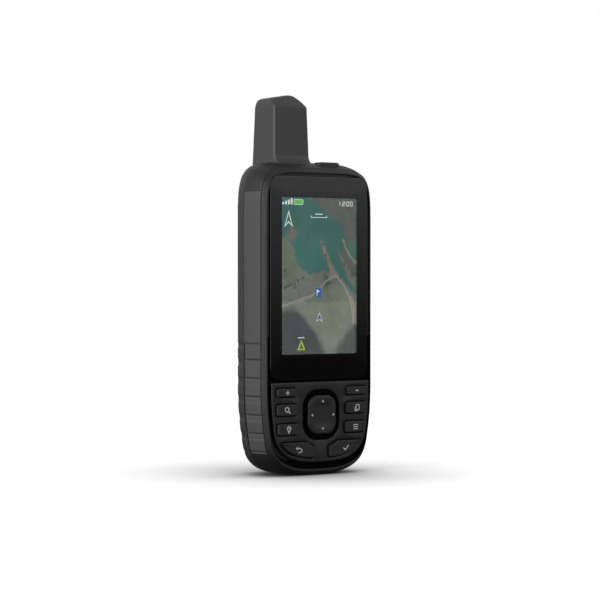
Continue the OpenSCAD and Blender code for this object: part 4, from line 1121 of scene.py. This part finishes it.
def soft_copy(node_name, width, segments=3, degrees=30.0, name=None):
    """A merged copy of a CAD node with its edges rounded, in place of the node."""
    source = frame["nodes"][node_name]
    mesh = source.data.copy()
    copy = bpy.data.objects.new(name or f"{node_name}_soft", mesh)
    bpy.context.scene.collection.objects.link(copy)
    bm = bmesh.new()
    bm.from_mesh(mesh)
    bmesh.ops.remove_doubles(bm, verts=bm.verts, dist=1e-6)
    bmesh.ops.dissolve_limit(bm, angle_limit=math.radians(1.0), verts=bm.verts, edges=bm.edges)
    bm.to_mesh(mesh)
    bm.free()
    smooth_by_angle(copy, 30)
    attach(copy, BODY_OF[node_name])
    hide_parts(node_name)
    return bevelled(copy, width, segments, degrees)


door = soft_copy("battery_cover", 0.28, name="battery_door")
stud = soft_copy("latch_stud", 0.22, name="door_latch")
flaps = [soft_copy("usb_cap", 0.25, name="usb_flap"),
         soft_copy("jack_cap", 0.25, name="jack_flap")]
rail = soft_copy("mounting_spine", 0.22, name="clip_rail")
strips = soft_copy("edge_strips", 0.3, name="edge_bumpers")


RING_Y, RING_HALF, RING_LEG = 16.3, 7.6, 14.0
turn = np.radians(np.linspace(0, 180, 60))
bow_x, bow_z = RING_HALF * np.cos(turn), STUD_Z - RING_LEG - RING_HALF * np.sin(turn)
leg = np.linspace(STUD_Z - 1.2, STUD_Z - RING_LEG + 0.4, 14)
corner = np.radians(np.linspace(80, 10, 8))
right_top = np.stack([RING_HALF - 1.2 + 1.2 * np.cos(corner), STUD_Z - 1.2 + 1.2 * np.sin(corner)], 1)
run = np.vstack([[(x, STUD_Z) for x in np.linspace(0, RING_HALF - 1.3, 8)], right_top,
                 np.stack([np.full(14, RING_HALF), leg], 1), np.stack([bow_x, bow_z], 1)[1:31]])
loop = np.vstack([run, (run[:-1] * (-1, 1))[::-1]])
loop = np.stack([loop[:, 0], np.full(len(loop), RING_Y), loop[:, 1]], 1)
along = np.roll(loop[:-1], -1, 0) - np.roll(loop[:-1], 1, 0)
along /= np.linalg.norm(along, axis=1, keepdims=True)
side = np.cross(along, (0.0, 1.0, 0.0))
a = np.linspace(0, 2 * np.pi, 16, endpoint=False)
ring_points = (loop[:-1, None, :] + 0.8 * (np.cos(a)[None, :, None] * side[:, None, :]
               + np.sin(a)[None, :, None] * np.array([0.0, 1.0, 0.0]))).reshape(-1, 3)
d_ring = face_outwards(new_piece("lanyard_ring", ring_points,
                                 grid_faces(len(loop) - 1, 16, wrap_rows=True, wrap_columns=True),
                                 "ring", replaces=["d_ring"], slot="steel"))
print("back hardware:", [o.name for o in (door, stud, rail, strips, *flaps, d_ring)])

# %% [markdown]
# ## Materials
# Moulded plastic is never one even grey. The steel mould is spark-eroded or etched, so the
# surface has a very fine grain, and handling leaves broad patches that are a little smoother.
# Both come from noise on Object coordinates, which are the real metres of the part, so the
# grain has a real size. One node group makes them for every plastic and rubber.

# %% Shader groups
def group_of(name, inputs, outputs):
    """A shader node group with float inputs (name, default) and outputs (name, socket type)."""
    tree = bpy.data.node_groups.new(name, "ShaderNodeTree")
    for label, value in inputs:
        tree.interface.new_socket(label, in_out="INPUT", socket_type="NodeSocketFloat").default_value = value
    for label, kind in outputs:
        tree.interface.new_socket(label, in_out="OUTPUT", socket_type=kind)
    return tree, tree.nodes.new("NodeGroupInput"), tree.nodes.new("NodeGroupOutput")


def node(tree, kind, links=(), **settings):
    """Adds a node, sets its properties or input values, and links (socket, source) pairs."""
    made = tree.nodes.new(kind)
    for key, value in settings.items():
        if hasattr(made, key):
            setattr(made, key, value)
        else:
            made.inputs[key.replace("_", " ")].default_value = value
    for socket, source in links:
        tree.links.new(source, made.inputs[socket])
    return made


def math_node(tree, operation, a, b=0.0, c=None):
    """A Math node whose inputs are numbers or sockets; returns its output."""
    made = tree.nodes.new("ShaderNodeMath")
    made.operation = operation
    for k, value in enumerate((a, b) if c is None else (a, b, c)):
        if isinstance(value, (int, float)):
            made.inputs[k].default_value = value
        else:
            tree.links.new(value, made.inputs[k])
    return made.outputs[0]


GRAIN, grain_in, grain_out = group_of(
    "moulded_grain",
    [("Grain Size", 6000.0), ("Depth", 0.00001), ("Roughness", 0.5), ("Patchiness", 0.1), ("Tone Spread", 0.1)],
    [("Tone", "NodeSocketFloat"), ("Roughness", "NodeSocketFloat"), ("Normal", "NodeSocketVector")])
place = node(GRAIN, "ShaderNodeTexCoord").outputs["Object"]
fine = node(GRAIN, "ShaderNodeTexNoise", [("Vector", place), ("Scale", grain_in.outputs["Grain Size"])],
            Detail=2.0)
broad = node(GRAIN, "ShaderNodeTexNoise", [("Vector", place)], Scale=55.0, Detail=4.0, Roughness=0.6)
centred = math_node(GRAIN, "SUBTRACT", broad.outputs["Fac"], 0.5)
speck = math_node(GRAIN, "SUBTRACT", fine.outputs["Fac"], 0.5)
tone = math_node(GRAIN, "MULTIPLY_ADD", centred, grain_in.outputs["Tone Spread"], 1.0)
tone = math_node(GRAIN, "MULTIPLY_ADD", speck, 0.12, tone)
rough = math_node(GRAIN, "MULTIPLY_ADD", centred, grain_in.outputs["Patchiness"], grain_in.outputs["Roughness"])
rough = math_node(GRAIN, "MULTIPLY_ADD", speck, 0.1, rough)
bump = node(GRAIN, "ShaderNodeBump", [("Height", fine.outputs["Fac"]), ("Distance", grain_in.outputs["Depth"])],
            Strength=1.0)
for label, source in (("Tone", tone), ("Roughness", rough), ("Normal", bump.outputs[0])):
    GRAIN.links.new(source, grain_out.inputs[label])
print("groups:", [g.name for g in bpy.data.node_groups])

# %% Material maker
def finish(name, rgb, rough, size=6000.0, depth=8e-6, patch=0.12, spread=0.25, metal=0.0, specular=0.5,
           coat=0.0, sheen=0.0):
    """A Principled material whose colour, roughness and normal come through the grain group."""
    material = bpy.data.materials.new(name)
    material.use_nodes = True
    tree = material.node_tree
    shader = tree.nodes["Principled BSDF"]
    shader.inputs["Metallic"].default_value = metal
    shader.inputs["Specular IOR Level"].default_value = specular
    shader.inputs["Coat Weight"].default_value = coat
    shader.inputs["Sheen Weight"].default_value = sheen
    grain = tree.nodes.new("ShaderNodeGroup")
    grain.node_tree = GRAIN
    for label, value in (("Grain Size", size), ("Depth", depth), ("Roughness", rough), ("Patchiness", patch),
                         ("Tone Spread", spread)):
        grain.inputs[label].default_value = value
    colour = node(tree, "ShaderNodeMix", [(0, grain.outputs["Tone"])], data_type="RGBA", blend_type="MIX",
                  clamp_factor=False)
    colour.inputs[6].default_value = (0.0, 0.0, 0.0, 1.0)
    colour.inputs[7].default_value = (*rgb, 1.0)
    tree.links.new(colour.outputs[2], shader.inputs["Base Color"])
    tree.links.new(grain.outputs["Roughness"], shader.inputs["Roughness"])
    tree.links.new(grain.outputs["Normal"], shader.inputs["Normal"])
    return material


def dress(piece, material):
    """Gives a piece or CAD node one material."""
    piece.data.materials.clear()
    piece.data.materials.append(material)
    return piece


BODY = finish("shell_plastic", (0.012, 0.012, 0.0125), 0.52, specular=0.36)
REAR = finish("rear_plastic", (0.022, 0.022, 0.023), 0.55)
GRIP = finish("grip_rubber", (0.046, 0.046, 0.047), 0.62, size=4500.0, depth=6e-6)
STUB = finish("antenna_plastic", (0.036, 0.036, 0.037), 0.5)
DECK = finish("keypad_plastic", (0.005, 0.005, 0.0053), 0.5)
KEY = finish("key_rubber", (0.007, 0.007, 0.0073), 0.55)
BLACK = finish("black_rubber", (0.006, 0.006, 0.006), 0.5)
GLOSS = finish("window_black", (0.002, 0.002, 0.0022), 0.06, depth=0.0, patch=0.02, spread=0.1, coat=0.0)
# painted shade: a near-black finish that hardly reflects, laid on gap walls and recess floors to stand in for
# the shade that falls in them
SHADE_BLACK = finish("painted_shade_black", (0.0015, 0.0015, 0.0016), 0.9, specular=0.05)
INK = finish("white_print", (0.62, 0.62, 0.62), 0.55, spread=0.1)

for piece, material in ((front, BODY), (rear, REAR), (grips[0], GRIP), (grips[1], GRIP), (stub, STUB),
                        (deck, DECK), (border, GLOSS), (rocker, KEY)):
    dress(piece, material)
for piece in keys.values():
    dress(piece, KEY)
for o in bpy.data.objects:
    if o.name.startswith("mark_"):
        dress(o, INK)


def paint_faces(piece, material, chosen):
    """Gives a second material to the faces whose centre (x, y, z in millimetres) is chosen."""
    piece.data.materials.append(material)
    centres = np.zeros(3 * len(piece.data.polygons))
    piece.data.polygons.foreach_get("center", centres)
    index = np.zeros(len(piece.data.polygons), np.int32)
    piece.data.polygons.foreach_get("material_index", index)
    index[chosen(*(centres.reshape(-1, 3).T / MM))] = len(piece.data.materials) - 1
    piece.data.polygons.foreach_set("material_index", index)


recess_edge = outline(*RECESS, 400)
# painted shade: the recess floor round the glass gets the black rubber finish above height 60 and the near-black
# shade finish below it, for the shade in the groove
paint_faces(front, BLACK, lambda x, y, z: (y < -13.5) & (z >= 60) & (to_shape(x, z, recess_edge) < 0.15))
paint_faces(front, SHADE_BLACK, lambda x, y, z: (y < -13.5) & (z < 60) & (to_shape(x, z, recess_edge) < 0.15))
# painted shade: the walls inside the keypad openings and the deck's lower edge get the near-black shade finish
paint_faces(deck, SHADE_BLACK, lambda x, y, z: (y > DECK_Y + 0.4) & (z < 39))
# painted shade: the rocker's sides, down in its moat, get the near-black shade finish
paint_faces(rocker, SHADE_BLACK, lambda x, y, z: y > -15.9)
print("materials:", len(bpy.data.materials))

# %% [markdown]
# The picture sends out its own light, so its colour goes to Emission. Ground that should look
# grainy mixes a fine noise in, by as much as the fourth number of the attribute says. The pane
# in front of it is plain clear glass.

# %% Picture and pane
def picture_material(name):
    """Emission from the map attribute, darkened and lightened by noise where the ground is grainy."""
    material = bpy.data.materials.new(name)
    material.use_nodes = True
    tree = material.node_tree
    shader = tree.nodes["Principled BSDF"]
    shader.inputs["Base Color"].default_value = (0.0, 0.0, 0.0, 1.0)
    shader.inputs["Roughness"].default_value = 0.4
    shader.inputs["Emission Strength"].default_value = 1.0
    shader.inputs["Specular IOR Level"].default_value = 0.0
    ground = node(tree, "ShaderNodeAttribute", attribute_name="map_colour")
    place = node(tree, "ShaderNodeTexCoord").outputs["Object"]
    fine = node(tree, "ShaderNodeTexNoise", [("Vector", place)], Scale=1500.0, Detail=3.0, Roughness=0.7)
    swing = math_node(tree, "SUBTRACT", fine.outputs["Fac"], 0.5)
    swing = math_node(tree, "MULTIPLY", swing, ground.outputs["Alpha"])
    gain = math_node(tree, "MULTIPLY_ADD", swing, 2.2, 1.0)
    colour = node(tree, "ShaderNodeMix", [(0, gain)], data_type="RGBA", clamp_factor=False)
    colour.inputs[6].default_value = (0.0, 0.0, 0.0, 1.0)
    tree.links.new(ground.outputs["Color"], colour.inputs[7])
    tree.links.new(colour.outputs[2], shader.inputs["Emission Color"])
    return material


def clear_glass(name):
    """Clear glass with a trace of grain in its roughness."""
    material = bpy.data.materials.new(name)
    material.use_nodes = True
    tree = material.node_tree
    shader = tree.nodes["Principled BSDF"]
    shader.inputs["Base Color"].default_value = (1.0, 1.0, 1.0, 1.0)
    shader.inputs["Transmission Weight"].default_value = 1.0
    shader.inputs["IOR"].default_value = 1.5
    place = node(tree, "ShaderNodeTexCoord").outputs["Object"]
    haze = node(tree, "ShaderNodeTexNoise", [("Vector", place)], Scale=90.0, Detail=2.0)
    tree.links.new(math_node(tree, "MULTIPLY", haze.outputs["Fac"], 0.02), shader.inputs["Roughness"])
    return material


def sign_material(name, rgb):
    """A finish that sends its colour out instead of reflecting it."""
    material = finish(name, tuple(linear(rgb)), 0.5, depth=0.0, spread=0.1)
    tree = material.node_tree
    shader = tree.nodes["Principled BSDF"]
    link = shader.inputs["Base Color"].links[0]
    tree.links.new(link.from_socket, shader.inputs["Emission Color"])
    tree.links.remove(link)
    shader.inputs["Base Color"].default_value = (0.0, 0.0, 0.0, 1.0)
    shader.inputs["Emission Strength"].default_value = 0.85
    shader.inputs["Specular IOR Level"].default_value = 0.0
    return material


sign_paint = {rgb: sign_material(f"sign_light_{k}", rgb)
              for k, rgb in enumerate((PALE, LEAF, BLUE, NAVY, LIME, DARK))}
for made, rgb in SIGNS.values():
    dress(made, sign_paint[rgb])
dress(picture, picture_material("map_light"))
dress(pane, clear_glass("pane_glass"))
print("picture and pane dressed")

# %% [markdown]
# ## Inner parts
# With the door or a flap open the inside shows, so the CAD nodes that stay get their own
# finishes too: green boards, tinned steel, gold, copper, wrapped cells and amber film. They
# use the same grain group with other numbers.

# %% Inner finishes
STEEL = finish("satin_steel", (0.56, 0.56, 0.57), 0.32, size=3000.0, depth=1e-6, metal=1.0, spread=0.15)
TIN = finish("tinned_steel", (0.62, 0.62, 0.64), 0.36, size=2500.0, depth=1e-6, metal=1.0, spread=0.2)
GOLD = finish("gold_plate", (0.78, 0.55, 0.22), 0.25, size=2500.0, depth=5e-7, metal=1.0)
COPPER = finish("copper_foil", (0.70, 0.34, 0.18), 0.35, size=2500.0, depth=5e-7, metal=1.0, spread=0.3)
BOARD = finish("solder_mask", (0.010, 0.085, 0.035), 0.35, size=900.0, depth=4e-6, spread=0.6)
AMBER = finish("amber_film", (0.45, 0.18, 0.03), 0.3, size=900.0, depth=2e-6)
CERAMIC = finish("matt_ceramic", (0.66, 0.62, 0.52), 0.6)
SILICONE = finish("grey_silicone", (0.11, 0.11, 0.115), 0.5)
SEAL = finish("seal_cord", (0.36, 0.06, 0.02), 0.5)
WRAP = finish("cell_sleeve", (0.30, 0.16, 0.03), 0.3, size=700.0, depth=2e-6, spread=0.3)
PLAIN = finish("plain_black", (0.015, 0.015, 0.0155), 0.5)
SLOT_FINISH = {"body_plastic": BODY, "rear_plastic": REAR, "grip_rubber": GRIP, "black_rubber": BLACK,
               "seal_rubber": SEAL, "window": GLOSS, "display": PLAIN, "keypad_plastic": DECK, "key_rubber": KEY,
               "silicone": SILICONE, "antenna_plastic": STUB, "steel": STEEL, "board": BOARD, "tin": TIN,
               "flex": AMBER, "copper": COPPER, "ceramic": CERAMIC, "gold": GOLD, "cell_wrap": WRAP,
               "black_plastic": PLAIN}
for row in frame["record"]["subparts"]:
    dress(frame["nodes"][row["node"]], SLOT_FINISH[row["material_slot"]])
for piece, material in ((door, REAR), (stud, STEEL), (rail, PLAIN), (strips, BLACK), (flaps[0], BLACK),
                        (flaps[1], BLACK), (d_ring, STEEL), (power, KEY)):
    dress(piece, material)
